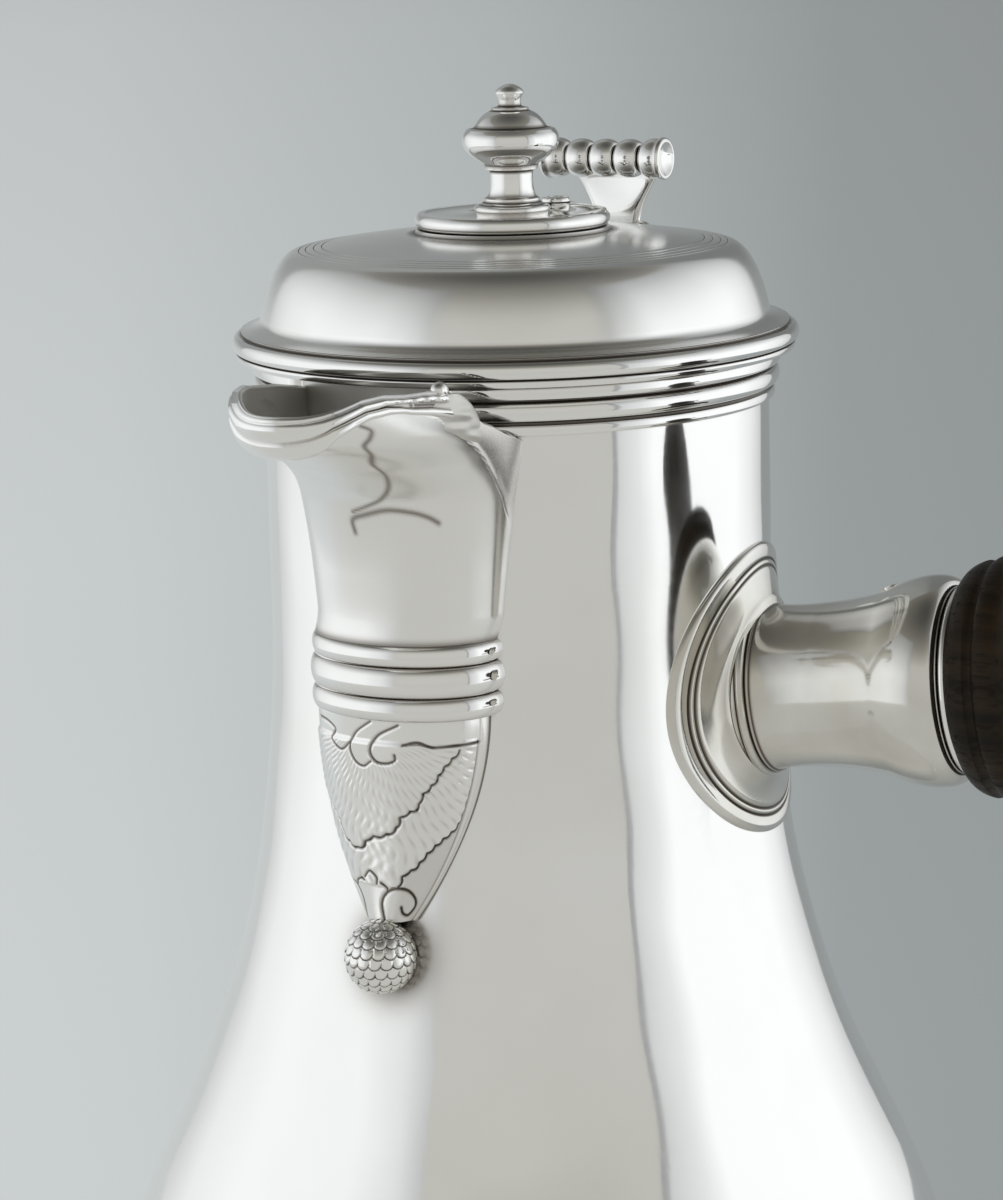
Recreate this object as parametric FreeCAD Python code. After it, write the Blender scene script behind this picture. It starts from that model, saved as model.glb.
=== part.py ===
"""Side-handled silver coffee pot with a hinged lid and a swivelling finial.

Millimetres, +Z up. The origin is on the pot's axis at the table. The beak spout points to -Y, the wooden
handle to +X, and the lid's hinge is behind, at +Y.
"""
import FreeCAD
import Part

import math
import os

V = FreeCAD.Vector
AXIS_Z = V(0, 0, 1)
ORIGIN = V(0, 0, 0)

# Body
FOOT_HEIGHT = 14.0
BASE_RADIUS = 38.0
BASE_SWEEP = 18.0
BELLY_RADIUS = 66.7
BELLY_HEIGHT = 44.0
BELLY_DROP = 18.0
BELLY_RISE = 54.0
NECK_RADIUS = 37.5
NECK_LENGTH = 29.8
NECK_DROP = 89.0
RIM_HEIGHT = 209.6
WALL = 0.8
HALVINGS = 40

# Rim moulding
RIM_BAND = 1.7
RIM_BAND_HEIGHT = 1.8
RIM_TORUS = 1.5
RIM_TORUS_HEIGHT = 3.0
RIM_FILLET = 0.5
RIM_FILLET_HEIGHT = 2.0

# Lid
LID_GAP = 0.3
FLANGE_OVERHANG = 4.9
FLANGE_HEIGHT = 4.1
FLANGE_STEP = 2.1
FLANGE_WIDEST = 0.56
DOME_EDGE = 3.0
DOME_INSET = 4.8
DOME_TAPER = 6.1
DOME_HEIGHT = 11.4
CROWN_RISE = 2.6
CAVETTO_HEIGHT = 1.9
CAVETTO_TURN = 0.4
DOME_WALL = 1.0
DOME_LEAN = 0.7
DOME_FLANK = 3.2
DOME_SHOULDER = 3.7
BEZEL_CLEARANCE = 0.6
BEZEL_DEPTH = 6.0
BEZEL_WALL = 1.0
STIRRER_HOLE_RADIUS = 7.5

# Swivelling finial
PLATE_GAP = 0.2
PLATE_RADIUS = 14.4
PLATE_EDGE = 2.1
PLATE_RISE = 0.2
PLATE_RIM = 1.4
PLATE_DISH = 0.4
PIVOT_RADIUS = 14.0
EAR_RADIUS = 2.8
RIVET_RADIUS = 1.1
RIVET_HEAD_RADIUS = 1.9
RIVET_HEAD_HEIGHT = 1.2
RIVET_CLEARANCE = 0.1
WASHER_RADIUS = 2.8
WASHER_THICKNESS = 0.8
RIVET_TAIL = 0.7
FINIAL_FOOT_RADIUS = 5.5
FINIAL_FOOT_HEIGHT = 1.2
FINIAL_RING_RADIUS = 4.1
FINIAL_RING_HEIGHT = 0.7
FINIAL_STEM_RADIUS = 3.15
FINIAL_STEM_HEIGHT = 5.85
FINIAL_COLLAR_RADIUS = 3.9
FINIAL_COLLAR_HEIGHT = 1.05
FINIAL_KNOB_RADIUS = 7.15
FINIAL_KNOB_HEIGHT = 5.05
FINIAL_KNOB_WIDEST = 0.63
FINIAL_DOME_RADIUS = 5.3
FINIAL_DOME_HEIGHT = 2.55
FINIAL_CAP_RADIUS = 2.7
FINIAL_CAP_HEIGHT = 0.4
FINIAL_BUTTON_NECK = 1.5
FINIAL_BUTTON_RADIUS = 2.1
FINIAL_BUTTON_HEIGHT = 3.5
FINIAL_BUTTON_CROWN = 1.4

# Hinge and thumbpiece
KNUCKLE_RADIUS = 2.3
HINGE_OFFSET = 1.9
HINGE_WIDTH = 22.0
LID_KNUCKLE_WIDTH = 8.0
KNUCKLE_GAP = 0.3
PIN_RADIUS = 1.0
PIN_CLEARANCE = 0.1
HINGE_PLATE_HEIGHT = 6.6
HINGE_PLATE_THICKNESS = 2.0
THUMB_OUTSET = 3.5
THUMB_THICKNESS = 1.4
THUMB_LEAN = 0.9
ROLL_SETBACK = 3.6
THUMB_HEIGHT = 10.1
THUMB_WAIST_SHARE = 0.28
THUMB_TOP_WIDTH = 13.2
THUMB_WAIST_WIDTH = 7.6
THUMB_FOOT_WIDTH = 11.0
ROLL_LENGTH = 20.0
ROLL_BEADS = 3
BEAD_RADIUS = 2.85
BEAD_NECK = 1.9
ROLL_DISC_RADIUS = 3.3
ROLL_DISC_THICKNESS = 1.5

# Spout
LIP_RISE = 1.9
LIP_TIP_RISE = 0.5
SPOUT_REACH = 34.2
SPOUT_HALF_WIDTH = 17.5
SPOUT_SHOULDER = 10.5
SPOUT_CORNER_DROP = 7.4
SPOUT_FLARE_DEPTH = 15.5
SPOUT_STEM_REACH = 7.7
SPOUT_STEM_HALF_WIDTH = 13.9
SPOUT_WALL = 1.0
SPOUT_FLOOR = 1.2
SPOUT_ROOT = 6.0
SPOUT_FLANK = 0.8
SPOUT_ROUNDNESS = 0.55
STEM_SWELL = 0.6
FLARE_REACH = 2.6
FLARE_NARROWING = 1.8
FLARE_HEIGHT_SHARES = (0.32, 0.60)
FLARE_REACH_SHARES = (0.53, 0.84)
FLARE_FULLNESS = (0.92, 0.80, 0.68)
LIP_WIRE = 1.1
LIP_WIRE_TIP_HEIGHT = 6.6
LIP_WIRE_END_HEIGHT = 2.0
REEDS_DROP = 35.3
REED_HEIGHTS = (3.0, 4.4, 3.3)
REED_PROUD = (0.9, 1.2, 1.0)
REED_GROOVE = 0.3
REED_STEPS = 8
SHIELD_HEIGHT = 30.3
SHIELD_HALF_WIDTH = 13.3
SHIELD_REACH = 7.1
SHIELD_TIP_HALF_WIDTH = 3.8
SHIELD_TIP_REACH = 3.8
BERRY_RADIUS = 5.0
BERRY_PROUD = 3.3
STRAINER_HOLE_RADIUS = 1.8
STRAINER_PITCH = 6.0
STRAINER_ROWS = 3
STRAINER_DROP = 22.0

# Handle
HANDLE_DROP = 48.5
HANDLE_TILT = 6.0
HANDLE_SWING = 4.0
ESCUTCHEON_STEPS = ((21.0, 0.9), (18.4, 1.4))
SOCKET_FOOT_RADIUS = 13.0
SOCKET_FOOT_HEIGHT = 1.6
SOCKET_NECK_RADIUS = 11.7
SOCKET_NECK_LENGTH = 14.0
SOCKET_BULB_RADIUS = 15.0
SOCKET_LENGTH = 32.0
SOCKET_MOUTH_RADIUS = 12.9
SOCKET_BULB_SETBACK = 5.6
SOCKET_RIM_RADIUS = 13.7
SOCKET_RIM_THICKNESS = 1.2
TENON_RADIUS = 9.4
TENON_CLEARANCE = 0.1
TENON_LENGTH = 20.0
HANDLE_PIN_RADIUS = 1.1
GRIP_COLLAR_RADIUS = 17.5
GRIP_COLLAR_LENGTH = 8.0
GRIP_COLLAR_ROUND = 2.4
GRIP_GROOVE_RADIUS = 14.2
GRIP_LENGTH = 114.0
GRIP_WAIST_SHARE = 0.29
GRIP_SWELL_SHARE = 0.69
GRIP_END_SHARE = 0.95
GRIP_WAIST_RADIUS = 10.6
GRIP_SWELL_RADIUS = 15.2
GRIP_END_RADIUS = 7.0

# Feet
FOOT_COUNT = 3
FOOT_SETBACK = 6.7
FOOT_PAD_RADIUS = 7.5
FOOT_PAD_HEIGHT = 3.4
FOOT_ANKLE_RADIUS = 3.8
FOOT_KNEE_RADIUS = 6.6
FOOT_KNEE_RISE = 14.0
FOOT_PLATE_HALF_WIDTH = 12.0
FOOT_PLATE_RISE = 12.0
FOOT_PLATE_THICKNESS = 1.2
FOOT_PLATE_SHOULDER = 7.0
FOOT_PLATE_CURVE = 14.0
FOOT_PAD_NECK_RADIUS = 6.1
FOOT_ANKLE_HEIGHT = 9.4
FOOT_CALF_RADIUS = 4.8
FOOT_LEG_RISE = 22.0

# Levels and radii that several pieces share
NECK_START = RIM_HEIGHT - NECK_LENGTH
FLANGE_RADIUS = NECK_RADIUS + FLANGE_OVERHANG
DOME_FOOT_RADIUS = FLANGE_RADIUS - DOME_INSET
DOME_TOP_RADIUS = DOME_FOOT_RADIUS - DOME_TAPER
THUMB_RADIUS = DOME_TOP_RADIUS + THUMB_OUTSET
FOOT_CIRCLE_RADIUS = BELLY_RADIUS - FOOT_SETBACK
FOOT_KNEE_HEIGHT = FOOT_HEIGHT + FOOT_KNEE_RISE
FOOT_LEG_TOP = FOOT_HEIGHT + FOOT_LEG_RISE
FOOT_PLATE_TOP = BELLY_HEIGHT + FOOT_PLATE_RISE
LID_BOTTOM = RIM_HEIGHT + LID_GAP
FLANGE_TOP = LID_BOTTOM + FLANGE_HEIGHT
SHOULDER_TOP = FLANGE_TOP + DOME_HEIGHT
LID_TOP = SHOULDER_TOP + CROWN_RISE
PLATE_BOTTOM = LID_TOP + PLATE_GAP
CROWN_AT_PIVOT = LID_TOP - CROWN_RISE * (PIVOT_RADIUS / DOME_TOP_RADIUS) ** 2
WASHER_BOTTOM = CROWN_AT_PIVOT - DOME_WALL - WASHER_THICKNESS
PLATE_RIM_TOP = PLATE_BOTTOM + PLATE_EDGE
PLATE_TOP = PLATE_RIM_TOP + PLATE_RISE
BEZEL_RADIUS = NECK_RADIUS - WALL - BEZEL_CLEARANCE
HINGE_Y = FLANGE_RADIUS + HINGE_OFFSET
HINGE_Z = RIM_HEIGHT + LID_GAP / 2
ROLL_Y = THUMB_RADIUS - ROLL_SETBACK
ROLL_Z = SHOULDER_TOP + THUMB_HEIGHT
REEDS_TOP = RIM_HEIGHT - REEDS_DROP
SPOUT_BOTTOM = REEDS_TOP - sum(REED_HEIGHTS)
SHIELD_BOTTOM = SPOUT_BOTTOM - SHIELD_HEIGHT
BERRY_HEIGHT = SHIELD_BOTTOM - BERRY_RADIUS
HANDLE_HEIGHT = RIM_HEIGHT - HANDLE_DROP


def line(start, end):
    """Straight edge between two points."""
    return Part.LineSegment(start, end).toShape()


def arc(start, middle, end):
    """Circular edge through three points."""
    return Part.Arc(start, middle, end).toShape()


def bezier(*poles):
    """Bezier edge on its poles."""
    curve = Part.BezierCurve()
    curve.setPoles(list(poles))
    return curve.toShape()


def rz(radius, height):
    """Point of an outline that is turned about the pot's axis."""
    return V(radius, 0, height)


def turned(edges):
    """Solid of revolution about Z from the edges of a closed outline."""
    face = Part.Face(Part.Wire(edges))
    return face.revolve(ORIGIN, AXIS_Z, 360)


def polygon_edges(points):
    """Straight edges round a closed polygon."""
    return [line(a, b) for a, b in zip(points, points[1:] + points[:1])]


def ring(inner, outer, bottom, top):
    """Plain turned ring."""
    return turned(polygon_edges([rz(inner, bottom), rz(outer, bottom), rz(outer, top), rz(inner, top)]))


def one_solid(shape):
    """The single solid of a boolean result, without splitter faces."""
    solids = shape.removeSplitter().Solids
    return max(solids, key=lambda solid: solid.Volume)


# Body

def belly_poles(grow):
    """Poles of the curve from the belly up to the straight neck."""
    return [
        rz(BELLY_RADIUS + grow, BELLY_HEIGHT),
        rz(BELLY_RADIUS + grow, BELLY_HEIGHT + BELLY_RISE),
        rz(NECK_RADIUS + grow, NECK_START - NECK_DROP),
        rz(NECK_RADIUS + grow, NECK_START),
    ]


def body_form(grow, top):
    """Filled form of the body, grown or shrunk by a wall."""
    bottom = FOOT_HEIGHT - grow
    base = rz(BASE_RADIUS + grow, bottom)
    belly = rz(BELLY_RADIUS + grow, BELLY_HEIGHT)
    return turned([
        line(rz(0, bottom), base),
        bezier(base, rz(BASE_RADIUS + BASE_SWEEP + grow, bottom),
               rz(BELLY_RADIUS + grow, BELLY_HEIGHT - BELLY_DROP), belly),
        bezier(*belly_poles(grow)),
        line(rz(NECK_RADIUS + grow, NECK_START), rz(NECK_RADIUS + grow, top)),
        line(rz(NECK_RADIUS + grow, top), rz(0, top)),
        line(rz(0, top), rz(0, bottom)),
    ])


def body_radius(height):
    """Outer radius of the body at a height between the belly and the rim."""
    if height >= NECK_START:
        return NECK_RADIUS
    curve = bezier(*belly_poles(0)).Curve
    low, high = 0.0, 1.0
    for _ in range(HALVINGS):
        middle = (low + high) / 2
        if curve.value(middle).z < height:
            low = middle
        else:
            high = middle
    return curve.value(low).x


def strainer_holes():
    """Staggered holes through the neck behind the spout."""
    holes = []
    for row in range(STRAINER_ROWS):
        count = STRAINER_ROWS - row % 2
        height = RIM_HEIGHT - STRAINER_DROP - row * STRAINER_PITCH
        for column in range(count):
            x = (column - (count - 1) / 2) * STRAINER_PITCH
            hole = Part.makeCylinder(STRAINER_HOLE_RADIUS, 2 * NECK_RADIUS, V(x, 0, height), V(0, -1, 0))
            holes.append(hole)
    return holes


BODY_OUTER = body_form(0, RIM_HEIGHT)


def make_body():
    """Raised shell of even wall, open at the rim and pierced behind the spout."""
    shell = BODY_OUTER.cut(body_form(-WALL, RIM_HEIGHT + WALL))
    return one_solid(shell.cut(strainer_holes()))


def make_rim_moulding():
    """Applied moulding: flat band, torus and fillet round the top of the neck."""
    band_foot = RIM_HEIGHT - RIM_BAND_HEIGHT
    torus_foot = band_foot - RIM_TORUS_HEIGHT
    foot = torus_foot - RIM_FILLET_HEIGHT
    fillet = NECK_RADIUS + RIM_FILLET
    band = NECK_RADIUS + RIM_BAND
    torus = NECK_RADIUS + RIM_TORUS
    return turned([
        line(rz(NECK_RADIUS, foot), rz(fillet, foot)),
        line(rz(fillet, foot), rz(fillet, torus_foot)),
        arc(rz(fillet, torus_foot), rz(torus, torus_foot + RIM_TORUS_HEIGHT / 2), rz(fillet, band_foot)),
        line(rz(fillet, band_foot), rz(band, band_foot)),
        line(rz(band, band_foot), rz(band, RIM_HEIGHT)),
        line(rz(band, RIM_HEIGHT), rz(NECK_RADIUS, RIM_HEIGHT)),
        line(rz(NECK_RADIUS, RIM_HEIGHT), rz(NECK_RADIUS, foot)),
    ])


# Spout

def lip_height(reach_share):
    """Height of the lip between the shoulder (0) and the tip (1)."""
    return RIM_HEIGHT + LIP_RISE + (LIP_TIP_RISE - LIP_RISE) * reach_share


def spout_section(height, half_width, reach, fullness, grow=0.0):
    """Level outline of the spout: two curves to the nose, closed by a chord inside the body.

    fullness is 1 for an elliptic nose and less for a straighter, more pointed one.
    """
    half = half_width + grow
    wall = body_radius(height)
    start = math.sqrt(wall ** 2 - half_width ** 2) + SPOUT_FLANK
    nose = wall + reach + grow
    shoulder = start + SPOUT_ROUNDNESS * (nose - start)
    tip = SPOUT_ROUNDNESS * math.sqrt(fullness)
    chord = start - SPOUT_ROOT - grow

    def side(sign):
        return bezier(V(sign * half, -start, height), V(sign * half * fullness, -shoulder, height),
                      V(sign * half * tip, -nose, height), V(0, -nose, height))

    return Part.Wire([
        line(V(half, -chord, height), V(half, -start, height)),
        side(1),
        side(-1),
        line(V(-half, -start, height), V(-half, -chord, height)),
        line(V(-half, -chord, height), V(half, -chord, height)),
    ])


def spout_stem(grow, bottom):
    """Filled straight part of the spout, behind the reeds."""
    section = spout_section(bottom, SPOUT_STEM_HALF_WIDTH, SPOUT_STEM_REACH, 1.0, grow)
    return Part.Face(section).extrude(V(0, 0, REEDS_TOP - bottom))


def spout_flare(grow):
    """Filled part of the spout from the reeds up to above its lip, opening into the beak."""
    top = RIM_HEIGHT + 2 * LIP_RISE
    flare = RIM_HEIGHT - SPOUT_FLARE_DEPTH
    span = top - flare
    levels = [
        (REEDS_TOP, SPOUT_STEM_HALF_WIDTH, SPOUT_STEM_REACH, 1.0),
        ((REEDS_TOP + flare) / 2, SPOUT_STEM_HALF_WIDTH + STEM_SWELL, SPOUT_STEM_REACH + STEM_SWELL, 1.0),
        (flare, SPOUT_HALF_WIDTH - FLARE_NARROWING, SPOUT_STEM_REACH + FLARE_REACH, 1.0),
    ]
    for rise, out, fullness in zip(FLARE_HEIGHT_SHARES, FLARE_REACH_SHARES, FLARE_FULLNESS):
        half = SPOUT_HALF_WIDTH - FLARE_NARROWING * (1 - out)
        levels.append((flare + rise * span, half, SPOUT_REACH * out, fullness))
    levels.append((top + grow, SPOUT_HALF_WIDTH, SPOUT_REACH, FLARE_FULLNESS[-1]))
    sections = [spout_section(*level, grow=grow) for level in levels]
    return Part.makeLoft(sections, True, False)


def spout_form(grow, bottom):
    """Filled form of the whole hollow spout."""
    return spout_stem(grow, bottom).fuse(spout_flare(grow))


def above_lip(drop_end, drop_tip):
    """Block over the lip line, or over a line below it by the two drops."""
    shoulder = V(0, -(NECK_RADIUS + SPOUT_SHOULDER), lip_height(0) - drop_end)
    tip_y = -(NECK_RADIUS + SPOUT_REACH + 2 * LIP_WIRE)
    tip = V(0, tip_y, lip_height(1) - drop_tip)
    crown = V(0, (shoulder.y + tip.y) / 2, (shoulder.z + tip.z) / 2 + LIP_TIP_RISE)
    corner_y = -math.sqrt(NECK_RADIUS ** 2 - SPOUT_HALF_WIDTH ** 2)
    corner = V(0, corner_y, RIM_HEIGHT - SPOUT_CORNER_DROP - drop_end)
    back = V(0, corner.y + SPOUT_HALF_WIDTH, corner.z)
    ceiling = RIM_HEIGHT + 4 * LIP_RISE
    edges = [
        line(back, corner),
        line(corner, shoulder),
        arc(shoulder, crown, tip),
        line(tip, V(0, tip.y - 1, tip.z)),
        line(V(0, tip.y - 1, tip.z), V(0, tip.y - 1, ceiling)),
        line(V(0, tip.y - 1, ceiling), V(0, back.y, ceiling)),
        line(V(0, back.y, ceiling), back),
    ]
    width = 4 * SPOUT_HALF_WIDTH
    block = Part.Face(Part.Wire(edges)).extrude(V(width, 0, 0))
    block.translate(V(-width / 2, 0, 0))
    return block


SPOUT_OUTER = spout_form(0, SPOUT_BOTTOM)


def make_spout_beak(rim):
    """Hollow beak with an open top, a flared lip and a shoulder that drops to the neck."""
    channel = spout_form(-SPOUT_WALL, SPOUT_BOTTOM + SPOUT_FLOOR)
    beak = SPOUT_OUTER.cut(BODY_OUTER).cut(rim).cut(above_lip(0, 0)).cut(channel)
    return one_solid(beak)


def make_spout_lip_wire(rim):
    """Applied edge round the outside of the lip, deepest at the tip."""
    edge = above_lip(LIP_WIRE_END_HEIGHT, LIP_WIRE_TIP_HEIGHT).cut(above_lip(0, 0))
    wire = spout_flare(LIP_WIRE).common(edge).cut(SPOUT_OUTER)
    return one_solid(wire.cut(BODY_OUTER).cut(rim))


def make_spout_reed_band():
    """Three rounded reeds round the lower end of the spout."""
    height = REEDS_TOP
    levels = [(height, REED_GROOVE)]
    for tall, proud in zip(REED_HEIGHTS, REED_PROUD):
        for step in range(1, REED_STEPS + 1):
            turn = math.pi * step / REED_STEPS
            level = height - tall * (1 - math.cos(turn)) / 2
            levels.append((level, REED_GROOVE + (proud - REED_GROOVE) * math.sin(turn)))
        height -= tall
    sections = [spout_section(level, SPOUT_STEM_HALF_WIDTH, SPOUT_STEM_REACH, 1.0, grow)
                for level, grow in levels]
    band = Part.makeLoft(sections, True, True)
    return one_solid(band.cut(spout_stem(0, SPOUT_BOTTOM)).cut(BODY_OUTER))


def make_spout_shield():
    """Tapered drop under the reeds, rounded across."""
    sections = []
    steps = 5
    for step in range(steps):
        share = step / (steps - 1)
        height = SPOUT_BOTTOM - share * SHIELD_HEIGHT
        half = SHIELD_HALF_WIDTH - (SHIELD_HALF_WIDTH - SHIELD_TIP_HALF_WIDTH) * share ** 2
        reach = SHIELD_REACH - (SHIELD_REACH - SHIELD_TIP_REACH) * share
        sections.append(spout_section(height, half, reach, 1.0))
    return one_solid(Part.makeLoft(sections, True, False).cut(BODY_OUTER))


def make_spout_berry(shield):
    """Round berry at the foot of the drop, half sunk against the body."""
    centre = V(0, -(body_radius(BERRY_HEIGHT) + BERRY_PROUD), BERRY_HEIGHT)
    return one_solid(Part.makeSphere(BERRY_RADIUS, centre).cut([BODY_OUTER, shield]))


# Handle

def on_handle(shape):
    """Turn a shape made about Z from the pot's axis into the handle's direction."""
    placed = shape.copy()
    placed.rotate(ORIGIN, V(0, 1, 0), 90 - HANDLE_TILT)
    placed.rotate(ORIGIN, AXIS_Z, HANDLE_SWING)
    placed.translate(V(0, 0, HANDLE_HEIGHT - NECK_RADIUS * math.tan(math.radians(HANDLE_TILT))))
    return placed


SOCKET_END = NECK_RADIUS + SOCKET_LENGTH
TENON_START = SOCKET_END - TENON_LENGTH
GRIP_START = SOCKET_END + SOCKET_RIM_THICKNESS


def make_handle_escutcheon():
    """Round plate dished to the body, with a step inside its edge."""
    plate = None
    for radius, height in ESCUTCHEON_STEPS:
        step = on_handle(Part.makeCylinder(radius, SOCKET_END)).common(body_form(height, RIM_HEIGHT))
        plate = step if plate is None else plate.fuse(step)
    return one_solid(plate.cut(BODY_OUTER))


def handle_pin_form(radius, length):
    """Upright pin through the socket's bulb and the wooden tenon."""
    along = (TENON_START + SOCKET_END) / 2
    return on_handle(Part.makeCylinder(radius, length, V(-length / 2, 0, along), V(1, 0, 0)))


def socket_outline(bore):
    """Outline of the socket about the handle's axis, with a blind bore from its mouth."""
    foot = SOCKET_FOOT_RADIUS
    neck = SOCKET_NECK_RADIUS
    bulb = SOCKET_BULB_RADIUS
    mouth = SOCKET_MOUTH_RADIUS
    seat = NECK_RADIUS - foot
    foot_end = NECK_RADIUS + SOCKET_FOOT_HEIGHT
    neck_end = NECK_RADIUS + SOCKET_NECK_LENGTH
    widest = SOCKET_END - SOCKET_BULB_SETBACK
    swell = (neck_end + widest) / 2
    return [
        line(rz(0, seat), rz(foot, seat)),
        line(rz(foot, seat), rz(foot, foot_end)),
        bezier(rz(foot, foot_end), rz(neck, foot_end + SOCKET_FOOT_HEIGHT), rz(neck, neck_end)),
        bezier(rz(neck, neck_end), rz(neck, swell), rz(bulb, swell), rz(bulb, widest)),
        bezier(rz(bulb, widest), rz(bulb, (widest + SOCKET_END) / 2), rz(mouth, SOCKET_END)),
        line(rz(mouth, SOCKET_END), rz(bore, SOCKET_END)),
        line(rz(bore, SOCKET_END), rz(bore, TENON_START)),
        line(rz(bore, TENON_START), rz(0, TENON_START)),
        line(rz(0, TENON_START), rz(0, seat)),
    ]


def make_handle_socket():
    """Turned socket with a bulb, bored for the tenon and drilled for its pin."""
    seat = body_form(ESCUTCHEON_STEPS[-1][1], RIM_HEIGHT)
    socket = on_handle(turned(socket_outline(TENON_RADIUS + TENON_CLEARANCE))).cut(seat)
    return one_solid(socket.cut(handle_pin_form(HANDLE_PIN_RADIUS, 3 * SOCKET_BULB_RADIUS)))


def make_handle_pin():
    """Pin trimmed to the outside of the bulb."""
    pin = handle_pin_form(HANDLE_PIN_RADIUS, 3 * SOCKET_BULB_RADIUS)
    solid_socket = on_handle(turned(socket_outline(SOCKET_MOUTH_RADIUS / 2)))
    bore = on_handle(Part.makeCylinder(SOCKET_MOUTH_RADIUS, TENON_LENGTH, V(0, 0, TENON_START)))
    return one_solid(pin.common(solid_socket.fuse(bore)))


def make_socket_rim_wire():
    """Thin ring between the socket and the wood."""
    bore = TENON_RADIUS + TENON_CLEARANCE
    bottom = rz(SOCKET_RIM_RADIUS - SOCKET_RIM_THICKNESS / 2, SOCKET_END)
    top = rz(SOCKET_RIM_RADIUS - SOCKET_RIM_THICKNESS / 2, GRIP_START)
    crown = rz(SOCKET_RIM_RADIUS, (SOCKET_END + GRIP_START) / 2)
    return on_handle(turned([
        line(rz(bore, SOCKET_END), bottom),
        arc(bottom, crown, top),
        line(top, rz(bore, GRIP_START)),
        line(rz(bore, GRIP_START), rz(bore, SOCKET_END)),
    ]))


def make_handle_grip():
    """Turned wooden handle: tenon, collar, groove, baluster and rounded end."""
    collar_end = GRIP_START + GRIP_COLLAR_LENGTH
    collar_middle = GRIP_START + GRIP_COLLAR_LENGTH / 2
    waist = GRIP_START + GRIP_LENGTH * GRIP_WAIST_SHARE
    swell = GRIP_START + GRIP_LENGTH * GRIP_SWELL_SHARE
    knob = GRIP_START + GRIP_LENGTH * GRIP_END_SHARE
    end = GRIP_START + GRIP_LENGTH
    shoulder = GRIP_COLLAR_RADIUS - GRIP_COLLAR_ROUND
    groove_turn = (2 * collar_end + waist) / 3
    waist_turn = (waist + swell) / 2
    swell_turn = (swell + knob) / 2
    edges = [
        line(rz(0, TENON_START), rz(TENON_RADIUS, TENON_START)),
        line(rz(TENON_RADIUS, TENON_START), rz(TENON_RADIUS, GRIP_START)),
        line(rz(TENON_RADIUS, GRIP_START), rz(shoulder, GRIP_START)),
        arc(rz(shoulder, GRIP_START), rz(GRIP_COLLAR_RADIUS, collar_middle),
            rz(GRIP_GROOVE_RADIUS, collar_end)),
        bezier(rz(GRIP_GROOVE_RADIUS, collar_end), rz(GRIP_GROOVE_RADIUS, groove_turn),
               rz(GRIP_WAIST_RADIUS, groove_turn), rz(GRIP_WAIST_RADIUS, waist)),
        bezier(rz(GRIP_WAIST_RADIUS, waist), rz(GRIP_WAIST_RADIUS, waist_turn),
               rz(GRIP_SWELL_RADIUS, waist_turn), rz(GRIP_SWELL_RADIUS, swell)),
        bezier(rz(GRIP_SWELL_RADIUS, swell), rz(GRIP_SWELL_RADIUS, swell_turn),
               rz(GRIP_END_RADIUS, swell_turn), rz(GRIP_END_RADIUS, knob)),
        bezier(rz(GRIP_END_RADIUS, knob), rz(GRIP_END_RADIUS, end), rz(0, end)),
        line(rz(0, end), rz(0, TENON_START)),
    ]
    grip = on_handle(turned(edges))
    return one_solid(grip.cut(handle_pin_form(HANDLE_PIN_RADIUS, 3 * SOCKET_BULB_RADIUS)))


# Feet

def foot_angle(index):
    """Direction of a foot; the first stands under the handle."""
    return 360.0 * index / FOOT_COUNT


def make_foot_plate():
    """Shield-shaped plate dished to the belly, before it is turned to its foot's direction."""
    half = FOOT_PLATE_HALF_WIDTH
    low = FOOT_HEIGHT + FOOT_PAD_HEIGHT
    top = FOOT_PLATE_TOP
    shoulder = top - FOOT_PLATE_SHOULDER
    peak = (top + shoulder) / 2
    reach = BELLY_RADIUS + FOOT_PLATE_THICKNESS * 3
    curve = shoulder - FOOT_PLATE_CURVE

    def side(sign):
        return [V(0, 0, low), V(0, sign * half / 2, low + FOOT_PLATE_SHOULDER), V(0, sign * half, curve),
                V(0, sign * half, shoulder)]

    def crest(sign):
        return [V(0, sign * half, shoulder), V(0, sign * half / 2, shoulder), V(0, sign * half / 3, peak),
                V(0, 0, top)]

    edges = [bezier(*side(1)), bezier(*crest(1)), bezier(*reversed(crest(-1))), bezier(*reversed(side(-1)))]
    prism = Part.Face(Part.Wire(edges)).extrude(V(reach, 0, 0))
    shell = body_form(FOOT_PLATE_THICKNESS, RIM_HEIGHT).cut(BODY_OUTER)
    return one_solid(prism.common(shell))


def make_foot(plate):
    """Cast leg with a swelling knee, a thin ankle and a round pad."""
    def level(height, centre, radius):
        return Part.Wire([Part.Circle(V(centre, 0, height), AXIS_Z, radius).toShape()])

    calf = (FOOT_ANKLE_HEIGHT + FOOT_KNEE_HEIGHT) / 2
    leg = Part.makeLoft([
        level(FOOT_PAD_HEIGHT / 2, FOOT_CIRCLE_RADIUS, FOOT_PAD_NECK_RADIUS),
        level(FOOT_ANKLE_HEIGHT, FOOT_CIRCLE_RADIUS, FOOT_ANKLE_RADIUS),
        level(calf, FOOT_CIRCLE_RADIUS, FOOT_CALF_RADIUS),
        level(FOOT_KNEE_HEIGHT, FOOT_CIRCLE_RADIUS, FOOT_KNEE_RADIUS),
        level(FOOT_LEG_TOP, FOOT_CIRCLE_RADIUS - FOOT_ANKLE_RADIUS, FOOT_ANKLE_RADIUS),
    ], True, False)
    middle = FOOT_PAD_HEIGHT / 2
    edge = FOOT_PAD_RADIUS - middle / 2
    pad = turned([
        line(rz(0, 0), rz(edge, 0)),
        arc(rz(edge, 0), rz(FOOT_PAD_RADIUS, middle), rz(edge, FOOT_PAD_HEIGHT)),
        line(rz(edge, FOOT_PAD_HEIGHT), rz(0, FOOT_PAD_HEIGHT)),
        line(rz(0, FOOT_PAD_HEIGHT), rz(0, 0)),
    ])
    pad.translate(V(FOOT_CIRCLE_RADIUS, 0, 0))
    return one_solid(leg.fuse(pad).cut([BODY_OUTER, plate]))


# Lid

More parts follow.
